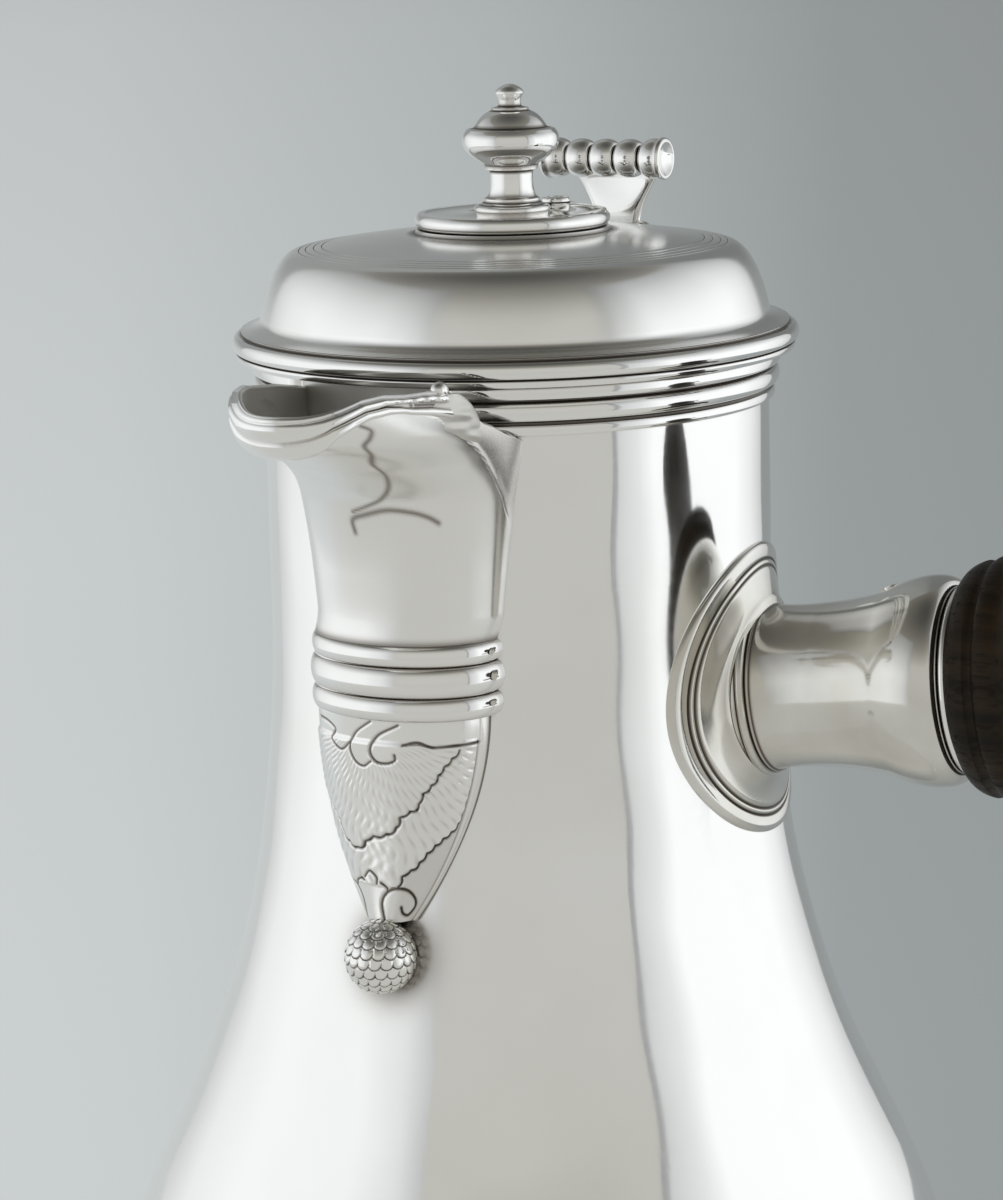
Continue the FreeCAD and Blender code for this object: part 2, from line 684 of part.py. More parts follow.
def dome_form(grow):
    """Filled form of the lid above its flange, shrunk for the inside."""
    foot = DOME_FOOT_RADIUS + grow
    cavetto = FLANGE_TOP + CAVETTO_HEIGHT
    edge = DOME_FOOT_RADIUS + DOME_EDGE + grow
    shoulder = rz(DOME_TOP_RADIUS + grow, SHOULDER_TOP + grow)
    crown = LID_TOP + grow
    slope = 2 * CROWN_RISE / DOME_TOP_RADIUS
    return turned([
        line(rz(0, FLANGE_TOP), rz(edge, FLANGE_TOP)),
        bezier(rz(edge, FLANGE_TOP), rz(foot, FLANGE_TOP + CAVETTO_TURN), rz(foot, cavetto)),
        bezier(rz(foot, cavetto), rz(foot - DOME_LEAN, cavetto + DOME_FLANK),
               rz(shoulder.x + DOME_SHOULDER, shoulder.z - slope * DOME_SHOULDER), shoulder),
        bezier(shoulder, rz(shoulder.x / 2, crown), rz(0, crown)),
        line(rz(0, crown), rz(0, FLANGE_TOP)),
    ])


DOME_OUTER = dome_form(0)
DOME_INNER = dome_form(-DOME_WALL)


def make_lid_dome():
    """Low-crowned lid with a round shoulder and a hollow foot, pierced for the stirrer and the pivot."""
    hole = Part.makeCylinder(STIRRER_HOLE_RADIUS, LID_TOP)
    pivot = Part.makeCylinder(RIVET_RADIUS, LID_TOP, V(0, PIVOT_RADIUS, 0))
    return one_solid(DOME_OUTER.cut([DOME_INNER, hole, pivot]))


def flange_form(inner):
    """Torus moulding round the lid, as a ring on an inner radius."""
    waist = FLANGE_RADIUS - FLANGE_STEP
    middle = LID_BOTTOM + FLANGE_HEIGHT * FLANGE_WIDEST
    return turned([
        line(rz(inner, LID_BOTTOM), rz(waist, LID_BOTTOM)),
        arc(rz(waist, LID_BOTTOM), rz(FLANGE_RADIUS, middle), rz(waist, FLANGE_TOP)),
        line(rz(waist, FLANGE_TOP), rz(inner, FLANGE_TOP)),
        line(rz(inner, FLANGE_TOP), rz(inner, LID_BOTTOM)),
    ])


def make_lid_bezel():
    """Ring inside the lid that drops into the neck."""
    return ring(BEZEL_RADIUS - BEZEL_WALL, BEZEL_RADIUS, LID_BOTTOM - BEZEL_DEPTH, FLANGE_TOP)


def make_pivot_washer():
    """Washer under the lid that the rivet is closed on, shaped to the crown above it."""
    washer = ring(RIVET_RADIUS, WASHER_RADIUS, WASHER_BOTTOM, LID_TOP)
    washer.translate(V(0, PIVOT_RADIUS, 0))
    return one_solid(washer.common(DOME_INNER))


def make_pivot_rivet():
    """Rivet through the lid and the finial plate: domed head, shank and closed tail."""
    seat = PLATE_RIM_TOP + RIVET_CLEARANCE
    tail = WASHER_BOTTOM
    rivet = turned([
        line(rz(0, tail - RIVET_TAIL), rz(RIVET_HEAD_RADIUS, tail - RIVET_TAIL)),
        line(rz(RIVET_HEAD_RADIUS, tail - RIVET_TAIL), rz(RIVET_HEAD_RADIUS, tail)),
        line(rz(RIVET_HEAD_RADIUS, tail), rz(RIVET_RADIUS, tail)),
        line(rz(RIVET_RADIUS, tail), rz(RIVET_RADIUS, seat)),
        line(rz(RIVET_RADIUS, seat), rz(RIVET_HEAD_RADIUS, seat)),
        bezier(rz(RIVET_HEAD_RADIUS, seat), rz(RIVET_HEAD_RADIUS, seat + RIVET_HEAD_HEIGHT),
               rz(0, seat + RIVET_HEAD_HEIGHT)),
        line(rz(0, seat + RIVET_HEAD_HEIGHT), rz(0, tail - RIVET_TAIL)),
    ])
    rivet.translate(V(0, PIVOT_RADIUS, 0))
    return rivet


def make_finial_plate():
    """Dished disc with a rounded rim and an ear that turns on the rivet."""
    rim = PLATE_RADIUS - PLATE_RIM
    half = PLATE_EDGE / 2
    edge = PLATE_RADIUS - half / 2
    foot = FINIAL_FOOT_RADIUS
    dish = PLATE_RIM_TOP - PLATE_DISH
    disc = turned([
        line(rz(0, PLATE_BOTTOM), rz(edge, PLATE_BOTTOM)),
        arc(rz(edge, PLATE_BOTTOM), rz(PLATE_RADIUS, PLATE_BOTTOM + half), rz(edge, PLATE_RIM_TOP)),
        line(rz(edge, PLATE_RIM_TOP), rz(rim, PLATE_RIM_TOP)),
        bezier(rz(rim, PLATE_RIM_TOP), rz(rim, dish), rz(foot, dish), rz(foot, PLATE_TOP)),
        line(rz(foot, PLATE_TOP), rz(0, PLATE_TOP)),
        line(rz(0, PLATE_TOP), rz(0, PLATE_BOTTOM)),
    ])
    pivot = V(0, PIVOT_RADIUS, PLATE_BOTTOM)
    ear = Part.makeCylinder(EAR_RADIUS, PLATE_EDGE, pivot)
    hole = Part.makeCylinder(RIVET_RADIUS + RIVET_CLEARANCE, 2 * PLATE_EDGE, pivot)
    seat = Part.makeCylinder(EAR_RADIUS, PLATE_EDGE, V(0, PIVOT_RADIUS, PLATE_RIM_TOP))
    return one_solid(disc.fuse(ear).cut([hole, seat]))


def make_finial():
    """Turned finial: foot, waisted stem, flattened knob, bell and button."""
    foot_top = PLATE_TOP + FINIAL_FOOT_HEIGHT
    ring_top = foot_top + FINIAL_RING_HEIGHT
    stem_top = PLATE_TOP + FINIAL_STEM_HEIGHT
    knob_foot = stem_top + FINIAL_COLLAR_HEIGHT
    knob_top = knob_foot + FINIAL_KNOB_HEIGHT
    widest = knob_foot + FINIAL_KNOB_HEIGHT * FINIAL_KNOB_WIDEST
    dome_top = knob_top + FINIAL_DOME_HEIGHT
    cap_top = dome_top + FINIAL_CAP_HEIGHT
    top = cap_top + FINIAL_BUTTON_HEIGHT
    button_edge = top - FINIAL_BUTTON_CROWN
    foot = FINIAL_FOOT_RADIUS
    rise = FINIAL_RING_RADIUS
    stem = FINIAL_STEM_RADIUS
    collar = FINIAL_COLLAR_RADIUS
    knob = FINIAL_KNOB_RADIUS
    dome = FINIAL_DOME_RADIUS
    cap = FINIAL_CAP_RADIUS
    neck = FINIAL_BUTTON_NECK
    button = FINIAL_BUTTON_RADIUS
    return turned([
        line(rz(0, PLATE_TOP), rz(foot, PLATE_TOP)),
        bezier(rz(foot, PLATE_TOP), rz(foot, foot_top), rz(rise, foot_top)),
        line(rz(rise, foot_top), rz(rise, ring_top)),
        bezier(rz(rise, ring_top), rz(stem, ring_top), rz(stem, stem_top)),
        line(rz(stem, stem_top), rz(collar, stem_top)),
        line(rz(collar, stem_top), rz(collar, knob_foot)),
        bezier(rz(collar, knob_foot), rz(knob, (knob_foot + widest) / 2), rz(knob, widest)),
        bezier(rz(knob, widest), rz(knob, knob_top), rz(dome, knob_top)),
        bezier(rz(dome, knob_top), rz((dome + cap) / 2, dome_top), rz(cap, dome_top)),
        line(rz(cap, dome_top), rz(cap, cap_top)),
        line(rz(cap, cap_top), rz(neck, cap_top)),
        bezier(rz(neck, cap_top), rz(neck, (cap_top + button_edge) / 2), rz(button, button_edge)),
        bezier(rz(button, button_edge), rz(button, (button_edge + top) / 2), rz(0, top)),
        line(rz(0, top), rz(0, PLATE_TOP)),
    ])


# Hinge and thumbpiece

def across(radius, start, end):
    """Cylinder on the hinge's axis between two places along X."""
    return Part.makeCylinder(radius, end - start, V(start, HINGE_Y, HINGE_Z), V(1, 0, 0))


def make_hinge_body_leaf(rim):
    """Plate on the neck with the two outer knuckles."""
    inner = LID_KNUCKLE_WIDTH / 2 + KNUCKLE_GAP
    outer = HINGE_WIDTH / 2
    back = NECK_RADIUS + RIM_BAND + HINGE_PLATE_THICKNESS
    depth = back - NECK_RADIUS / 2
    leaf = Part.makeBox(HINGE_WIDTH, depth, HINGE_PLATE_HEIGHT,
                        V(-outer, back - depth, RIM_HEIGHT - HINGE_PLATE_HEIGHT))
    for start, end in ((-outer, -inner), (inner, outer)):
        foot = HINGE_Z - KNUCKLE_RADIUS
        web = Part.makeBox(end - start, HINGE_Y - back + WALL, RIM_HEIGHT - foot, V(start, back - WALL, foot))
        leaf = leaf.fuse([web, across(KNUCKLE_RADIUS, start, end)])
    bore = across(PIN_RADIUS + PIN_CLEARANCE, -HINGE_WIDTH, HINGE_WIDTH)
    return one_solid(leaf.cut([bore, rim, BODY_OUTER]))


def make_hinge_lid_leaf(flange):
    """Middle knuckle with its web to the lid's flange."""
    half = LID_KNUCKLE_WIDTH / 2
    start = FLANGE_RADIUS - FLANGE_STEP
    web = Part.makeBox(LID_KNUCKLE_WIDTH, HINGE_Y - start, HINGE_Z + KNUCKLE_RADIUS - LID_BOTTOM,
                       V(-half, start, LID_BOTTOM))
    bore = across(PIN_RADIUS + PIN_CLEARANCE, -HINGE_WIDTH, HINGE_WIDTH)
    return one_solid(across(KNUCKLE_RADIUS, -half, half).fuse(web).cut([bore, flange]))


def make_hinge_pin():
    """Pin through all three knuckles, flush at both ends."""
    return across(PIN_RADIUS, -HINGE_WIDTH / 2, HINGE_WIDTH / 2)


def make_thumbpiece_roll():
    """Turned roll of beads between two end discs, lying across the leaf."""
    disc_in = ROLL_LENGTH / 2 - ROLL_DISC_THICKNESS
    pitch = 2 * disc_in / ROLL_BEADS
    edges = [
        line(rz(0, -ROLL_LENGTH / 2), rz(ROLL_DISC_RADIUS, -ROLL_LENGTH / 2)),
        line(rz(ROLL_DISC_RADIUS, -ROLL_LENGTH / 2), rz(ROLL_DISC_RADIUS, -disc_in)),
        line(rz(ROLL_DISC_RADIUS, -disc_in), rz(BEAD_NECK, -disc_in)),
    ]
    for bead in range(ROLL_BEADS):
        start = -disc_in + bead * pitch
        middle = start + pitch / 2
        end = start + pitch
        edges.append(arc(rz(BEAD_NECK, start), rz(BEAD_RADIUS, middle), rz(BEAD_NECK, end)))
    edges += [
        line(rz(BEAD_NECK, disc_in), rz(ROLL_DISC_RADIUS, disc_in)),
        line(rz(ROLL_DISC_RADIUS, disc_in), rz(ROLL_DISC_RADIUS, ROLL_LENGTH / 2)),
        line(rz(ROLL_DISC_RADIUS, ROLL_LENGTH / 2), rz(0, ROLL_LENGTH / 2)),
        line(rz(0, ROLL_LENGTH / 2), rz(0, -ROLL_LENGTH / 2)),
    ]
    roll = turned(edges)
    roll.rotate(ORIGIN, V(0, 1, 0), 90)
    roll.translate(V(0, ROLL_Y, ROLL_Z))
    return roll


def make_thumbpiece_leaf(roll):
    """Concave strip from a spread foot on the lid up to the roll, narrow at its waist."""
    half = THUMB_THICKNESS / 2
    foot = SHOULDER_TOP - DOME_HEIGHT / 2
    waist = SHOULDER_TOP + THUMB_HEIGHT * THUMB_WAIST_SHARE
    top = ROLL_Z

    def side(offset):
        return [V(0, THUMB_RADIUS + offset, foot), V(0, THUMB_RADIUS + offset, waist),
                V(0, THUMB_RADIUS + THUMB_LEAN + offset, (waist + top) / 2),
                V(0, THUMB_RADIUS - THUMB_LEAN + offset, top)]

    front = side(-half)
    back = side(half)
    strip = Part.Face(Part.Wire([
        bezier(*front),
        line(front[-1], back[-1]),
        bezier(*reversed(back)),
        line(back[0], front[0]),
    ])).extrude(V(2 * THUMB_TOP_WIDTH, 0, 0))
    strip.translate(V(-THUMB_TOP_WIDTH, 0, 0))

    def flank(sign):
        return [V(sign * THUMB_FOOT_WIDTH / 2, 0, foot), V(sign * THUMB_WAIST_WIDTH / 2, 0, SHOULDER_TOP),
                V(sign * THUMB_WAIST_WIDTH / 2, 0, waist), V(sign * THUMB_TOP_WIDTH / 2, 0, top)]

    right = flank(1)
    left = flank(-1)
    front_view = Part.Face(Part.Wire([
        line(left[0], right[0]),
        bezier(*right),
        line(right[-1], left[-1]),
        bezier(*reversed(left)),
    ])).extrude(V(0, 2 * THUMB_RADIUS, 0))
    return one_solid(strip.common(front_view).cut([DOME_OUTER, roll]))


def make_parts():
    """Every piece of the pot by its name."""
    rim = make_rim_moulding()
    flange = flange_form(BEZEL_RADIUS)
    shield = make_spout_shield()
    roll = make_thumbpiece_roll()
    parts = {
        "body": make_body(),
        "rim_moulding": rim,
        "spout_beak": make_spout_beak(rim),
        "spout_lip_wire": make_spout_lip_wire(rim),
        "spout_reed_band": make_spout_reed_band(),
        "spout_shield": shield,
        "spout_berry": make_spout_berry(shield),
        "handle_escutcheon": make_handle_escutcheon(),
        "handle_socket": make_handle_socket(),
        "socket_rim_wire": make_socket_rim_wire(),
        "handle_grip": make_handle_grip(),
        "handle_pin": make_handle_pin(),
        "hinge_body_leaf": make_hinge_body_leaf(rim),
        "hinge_pin": make_hinge_pin(),
        "hinge_lid_leaf": make_hinge_lid_leaf(flange),
        "lid_dome": make_lid_dome(),
        "lid_flange": flange,
        "lid_bezel": make_lid_bezel(),
        "thumbpiece_roll": roll,
        "thumbpiece_leaf": make_thumbpiece_leaf(roll),
        "pivot_rivet": make_pivot_rivet(),
        "pivot_washer": make_pivot_washer(),
        "finial_plate": make_finial_plate(),
        "finial": make_finial(),
    }
    plate = make_foot_plate()
    foot = make_foot(plate)
    for index in range(FOOT_COUNT):
        for name, shape in (("foot_plate", plate), ("foot", foot)):
            placed = shape.copy()
            placed.rotate(ORIGIN, AXIS_Z, foot_angle(index))
            parts[f"{name}_{index + 1}"] = placed
    return parts


def main():
    """Write each piece to its own file."""
    os.makedirs("parts", exist_ok=True)
    for name, shape in make_parts().items():
        shape.exportStep(f"parts/{name}.step")
        box = shape.optimalBoundingBox()
        print(f"{name}: {len(shape.Solids)} solid, valid {shape.isValid()}, {shape.Volume / 1000:.2f} cm3,"
              f" z {box.ZMin:.1f} to {box.ZMax:.1f}")


main()
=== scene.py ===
"""Finished looks of a side-handled silver coffee pot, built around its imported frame.

Sizes in the classes are millimetres in the frame's own axes: +Z is up from the table, the spout points
to -Y, the wooden handle to +X, and the lid's hinge is behind, at +Y. A piece's mesh is in metres.
"""

from __future__ import annotations

import logging
import math
from collections.abc import Callable, Sequence
from dataclasses import dataclass
from enum import Enum

import bmesh
import bpy
import numpy as np
from mathutils import Matrix, Vector

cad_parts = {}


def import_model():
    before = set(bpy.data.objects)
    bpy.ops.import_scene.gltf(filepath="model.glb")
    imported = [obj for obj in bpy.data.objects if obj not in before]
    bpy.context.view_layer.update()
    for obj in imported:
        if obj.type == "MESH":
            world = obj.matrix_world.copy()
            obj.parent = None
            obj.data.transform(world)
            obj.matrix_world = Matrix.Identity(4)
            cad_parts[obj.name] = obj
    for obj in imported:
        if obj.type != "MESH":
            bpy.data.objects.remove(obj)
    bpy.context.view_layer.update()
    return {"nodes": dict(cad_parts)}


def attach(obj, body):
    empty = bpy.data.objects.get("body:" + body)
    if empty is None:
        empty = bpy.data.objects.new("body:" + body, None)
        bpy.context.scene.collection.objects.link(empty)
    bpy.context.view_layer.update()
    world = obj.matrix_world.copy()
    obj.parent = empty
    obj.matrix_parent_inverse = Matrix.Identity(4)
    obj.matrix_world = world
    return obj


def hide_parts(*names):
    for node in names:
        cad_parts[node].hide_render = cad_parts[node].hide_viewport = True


LOG = logging.getLogger("coffee_pot")
MM = 0.001
# Per-point darkening of a piece: tarnish, and painted shade in hollows, slits, grooves and corners.
TARNISH_AND_SHADE = "tarnish_and_shade"
SHARP_ANGLE = math.radians(38)
BISECTIONS = 40
SAME_PLACE = 1e-4
NEARLY_STRAIGHT = -0.97
LONG_RUN = 3.0
FAINT_HOLLOW = 0.15
HOLLOW_RANGE = 0.6


class Rides(Enum):
    """The rigid bodies of the pot."""

    POT = "pot"
    LID = "lid"
    FINIAL = "finial"


class Slot(Enum):
    """The record's material slots."""

    SILVER = "silver"
    WOOD = "wood"


# Shader building


class Value:
    """A shader socket that takes part in Python expressions."""

    def __init__(self, graph: Graph, socket: bpy.types.NodeSocket | None) -> None:
        """Wraps a socket of a graph."""
        self.graph = graph
        self.socket = socket

    def _math(self, operation: str, first: Value | float, second: Value | float) -> Value:
        """Adds one Math node.

        Args:
            operation: The Math node's operation.
            first: Its first value.
            second: Its second value.

        Returns:
            The node's result.
        """
        return self.graph.node("ShaderNodeMath", {"operation": operation}, {0: first, 1: second})

    def __add__(self, other: Value | float) -> Value:
        """Sum."""
        return self._math("ADD", self, other)

    def __radd__(self, other: float) -> Value:
        """Sum with a number first."""
        return self._math("ADD", other, self)

    def __sub__(self, other: Value | float) -> Value:
        """Difference."""
        return self._math("SUBTRACT", self, other)

    def __rsub__(self, other: float) -> Value:
        """Difference from a number."""
        return self._math("SUBTRACT", other, self)

    def __mul__(self, other: Value | float) -> Value:
        """Product."""
        return self._math("MULTIPLY", self, other)

    def __rmul__(self, other: float) -> Value:
        """Product with a number first."""
        return self._math("MULTIPLY", other, self)

    def __truediv__(self, other: Value | float) -> Value:
        """Quotient."""
        return self._math("DIVIDE", self, other)

    def __rtruediv__(self, other: float) -> Value:
        """Quotient of a number."""
        return self._math("DIVIDE", other, self)

    def most(self, other: Value | float) -> Value:
        """The larger of two values."""
        return self._math("MAXIMUM", self, other)

    def least(self, other: Value | float) -> Value:
        """The smaller of two values."""
        return self._math("MINIMUM", self, other)


class Graph:
    """The node tree of one material, world or lamp."""

    def __init__(self, tree: bpy.types.NodeTree) -> None:
        """Empties a node tree."""
        self.tree = tree
        self.tree.nodes.clear()

    def node(self, kind: str, settings: dict | None = None, sockets: dict | None = None,
             output: int | str = 0) -> Value:
        """Adds a node.

        Args:
            kind: The node's type.
            settings: Attributes set first; "stops" gives a colour ramp's places and colours.
            sockets: Input names or numbers, with a value or a link for each.
            output: Which output to return.

        Returns:
            The chosen output.
        """
        node = self.tree.nodes.new(kind)
        for name, setting in (settings or {}).items():
            if name == "stops":
                self._stops(node.color_ramp, setting)
            else:
                setattr(node, name, setting)
        for name, given in (sockets or {}).items():
            if isinstance(given, Value):
                self.tree.links.new(given.socket, node.inputs[name])
            else:
                node.inputs[name].default_value = given
        return Value(self, node.outputs[output]) if node.outputs else Value(self, None)

    @staticmethod
    def _stops(ramp: bpy.types.ColorRamp, stops: Sequence[tuple[float, tuple]]) -> None:
        """Sets a ramp's stops.

        Args:
            ramp: The ramp.
            stops: Place and colour of each stop.
        """
        while len(ramp.elements) < len(stops):
            ramp.elements.new(1.0)
        for element, (place, colour) in zip(ramp.elements, stops):
            element.position = place
            element.color = colour

    def shades(self, value: Value, stops: Sequence[tuple[float, tuple]]) -> Value:
        """A ramp through stops of place and colour."""
        opaque = [(place, (*colour, 1.0)) for place, colour in stops]
        return self.node("ShaderNodeValToRGB", {"stops": opaque}, {"Fac": value})

    def ramp(self, value: Value, *stops: tuple[float, float]) -> Value:
        """A grey ramp through stops of place and level."""
        return self.shades(value, [(place, (level, level, level)) for place, level in stops])

    def noise(self, place: Value, scale: float, detail: float = 3.0) -> Value:
        """Fractal noise from 0 to 1."""
        return self.node("ShaderNodeTexNoise", {}, {"Vector": place, "Scale": scale, "Detail": detail})

    def mix(self, factor: Value, first: Value | tuple, second: Value | tuple) -> Value:
        """Mixes two colours."""
        return self.node("ShaderNodeMix", {"data_type": "RGBA"}, {0: factor, 6: first, 7: second}, 2)

    def place(self) -> Value:
        """The surface point in the frame's axes, in metres."""
        return self.node("ShaderNodeTexCoord", {}, {}, "Object")

    def axis(self, place: Value, name: str) -> Value:
        """One coordinate of a place."""
        return self.node("ShaderNodeSeparateXYZ", {}, {0: place}, name)

    def stretched(self, place: Value, scale: tuple[float, float, float], turn: tuple = (0, 0, 0)) -> Value:
        """A place scaled, and turned, for a drawn-out texture."""
        return self.node("ShaderNodeMapping", {}, {"Vector": place, "Scale": scale, "Rotation": turn})

    def surface(self, shader: Value) -> None:
        """Gives the material its shader."""
        self.node("ShaderNodeOutputMaterial", {}, {"Surface": shader})


def blank_material(name: str) -> tuple[bpy.types.Material, Graph]:
    """A new material and its empty graph.

    Args:
        name: The material's name.

    Returns:
        The material and its graph.
    """
    made = bpy.data.materials.new(name)
    made.use_nodes = True
    return made, Graph(made.node_tree)


@dataclass(frozen=True)
class Silver:
    """Polished silver with worn lustre, and tarnish and painted shade left in its hollows.

    Attributes:
        name: The material's name.
        roughness: Roughness of a clean place.
        bloom: How much the grey film varies the colour.
        hollows: Strength of the tarnish and painted shade in hollows.
        clean: Colour of a clean place.
        film: Colour of the grey film.
        brown: Colour of thin tarnish and light painted shade.
        dark: Colour of thick tarnish and deep painted shade.
        film_scale: Fineness of the film's patches.
        film_stops: Where the film begins and is full.
        scratch_scale: Fineness of the polishing marks.
        rub_scale: The same for long marks, along each axis.
        rub_turn: How the long marks are turned.
        hollow_reach: Width of the crevices that hold tarnish and painted shade, in metres.
        crevice_stops: Openness of a crevice, and the tarnish and painted shade in it.
        crevice_share: Depth of tarnish and painted shade in a crevice.
        dulling: Roughness added by the film, by tarnish and painted shade, and by polishing marks.
        mark_depth: Depth of the polishing marks, in metres.
        mark_strength: Strength of the polishing marks.
    """

    name: str
    roughness: float = 0.06
    bloom: float = 0.35
    hollows: float = 0.9
    clean: tuple = (0.935, 0.93, 0.915, 1.0)
    film: tuple = (0.83, 0.815, 0.775, 1.0)
    brown: tuple = (0.2, 0.125, 0.06, 1.0)
    dark: tuple = (0.045, 0.038, 0.03, 1.0)
    film_scale: float = 34.0
    film_stops: tuple = ((0.42, 0.0), (0.72, 1.0))
    scratch_scale: float = 900.0
    rub_scale: tuple = (900.0, 900.0, 60.0)
    rub_turn: tuple = (0.5, 0.3, 0.0)
    hollow_reach: float = 0.0014
    crevice_stops: tuple = ((0.25, 1.0), (0.62, 0.0))
    crevice_share: float = 0.75
    dulling: tuple = (0.05, 0.3, 0.05)
    mark_depth: float = 0.00006
    mark_strength: float = 0.06

    def material(self) -> bpy.types.Material:
        """Makes the material.

        Returns:
            A metal whose film, wear, tarnish and painted shade vary over its surface.
        """
        made, graph = blank_material(self.name)
        place = graph.place()
        film = graph.ramp(graph.noise(place, self.film_scale, 5.0), *self.film_stops)
        fine = graph.noise(place, self.scratch_scale, 2.0)
        drawn = graph.noise(graph.stretched(place, self.rub_scale, self.rub_turn), 1.0, 2.0)
        # Painted shade: ambient occlusion darkens crevices and the joins between pieces, on top of the
        # per-point tarnish and painted shade.
        open_sky = graph.node("ShaderNodeAmbientOcclusion", {"samples": 6},
                              {"Distance": self.hollow_reach}, "AO")
        crevice = graph.ramp(open_sky, *self.crevice_stops)
        marked = graph.node("ShaderNodeAttribute", {"attribute_name": TARNISH_AND_SHADE}, {}, "Fac")
        dark = (marked.most(crevice * self.crevice_share) * self.hollows).least(1.0)
        colour = graph.mix(film * self.bloom, self.clean, self.film)
        colour = graph.mix(dark, colour, graph.mix(dark, self.brown, self.dark))
        by_film, by_dark, by_marks = self.dulling
        rough = self.roughness + film * by_film + dark * by_dark + (fine - 0.5) * by_marks
        normal = graph.node("ShaderNodeBump", {}, {
            "Height": fine * 0.2 + drawn * 0.8, "Strength": self.mark_strength, "Distance": self.mark_depth})
        graph.surface(graph.node("ShaderNodeBsdfPrincipled", {}, {
            "Base Color": colour, "Metallic": 1.0, "Roughness": rough, "Normal": normal}))
        return made


@dataclass(frozen=True)
class DarkWood:
    """Dark turned hardwood with fine grain along the handle.

    Attributes:
        name: The material's name.
        deep: Colour of the dark grain and the pores.
        warm: Colour of the light grain.
        fine: Fineness of the grain along each axis.
        broad: The same for its broad bands.
        pores: The same for its pores.
        pore_stops: Where a pore begins and is full.
        tone_stops: Where the grain is dark and light.
        pore_depth: Depth of the pores, in metres.
        shine: Strength of the wood's own reflection.
    """

    name: str
    deep: tuple = (0.006, 0.004, 0.002, 1.0)
    warm: tuple = (0.03, 0.018, 0.008, 1.0)
    fine: tuple = (12.0, 420.0, 420.0)
    broad: tuple = (4.0, 70.0, 70.0)
    pores: tuple = (30.0, 1500.0, 1500.0)
    pore_stops: tuple = ((0.56, 0.0), (0.68, 1.0))
    tone_stops: tuple = ((0.36, 0.0), (0.64, 1.0))
    pore_depth: float = 0.00012
    shine: float = 0.18

    def material(self) -> bpy.types.Material:
        """Makes the material.

        Returns:
            A wood whose grain runs along the handle's axis.
        """
        made, graph = blank_material(self.name)
        place = graph.place()
        along = graph.stretched(place, self.fine)
        broad = graph.noise(graph.stretched(place, self.broad), 1.0, 3.0)
        grain = graph.noise(along, 1.0, 5.0)
        pores = graph.ramp(graph.noise(graph.stretched(place, self.pores), 1.0, 2.0), *self.pore_stops)
        tone = graph.ramp(grain * 0.65 + broad * 0.35, *self.tone_stops)
        colour = graph.mix(tone, self.deep, self.warm)
        colour = graph.mix(pores * 0.45, colour, self.deep)
        rough = 0.5 + pores * 0.2 - tone * 0.06
        normal = graph.node("ShaderNodeBump", {}, {"Height": grain * 0.4 - pores, "Strength": 0.35,
                                                   "Distance": self.pore_depth})
        graph.surface(graph.node("ShaderNodeBsdfPrincipled", {}, {
            "Base Color": colour, "Roughness": rough, "Normal": normal, "Specular IOR Level": self.shine}))
        return made


# Mesh building


def bezier(poles: Sequence[tuple], count: int) -> np.ndarray:
    """Points on a Bezier curve.

    Args:
        poles: Two, three or four poles.
        count: How many points, the first pole's own included.

    Returns:
        The points, one per row.
    """
    points = np.repeat(np.array(poles, float)[None], count, 0)
    share = np.linspace(0, 1, count)[:, None, None]
    while points.shape[1] > 1:
        points = points[:, :-1] * (1 - share) + points[:, 1:] * share
    return points[:, 0]


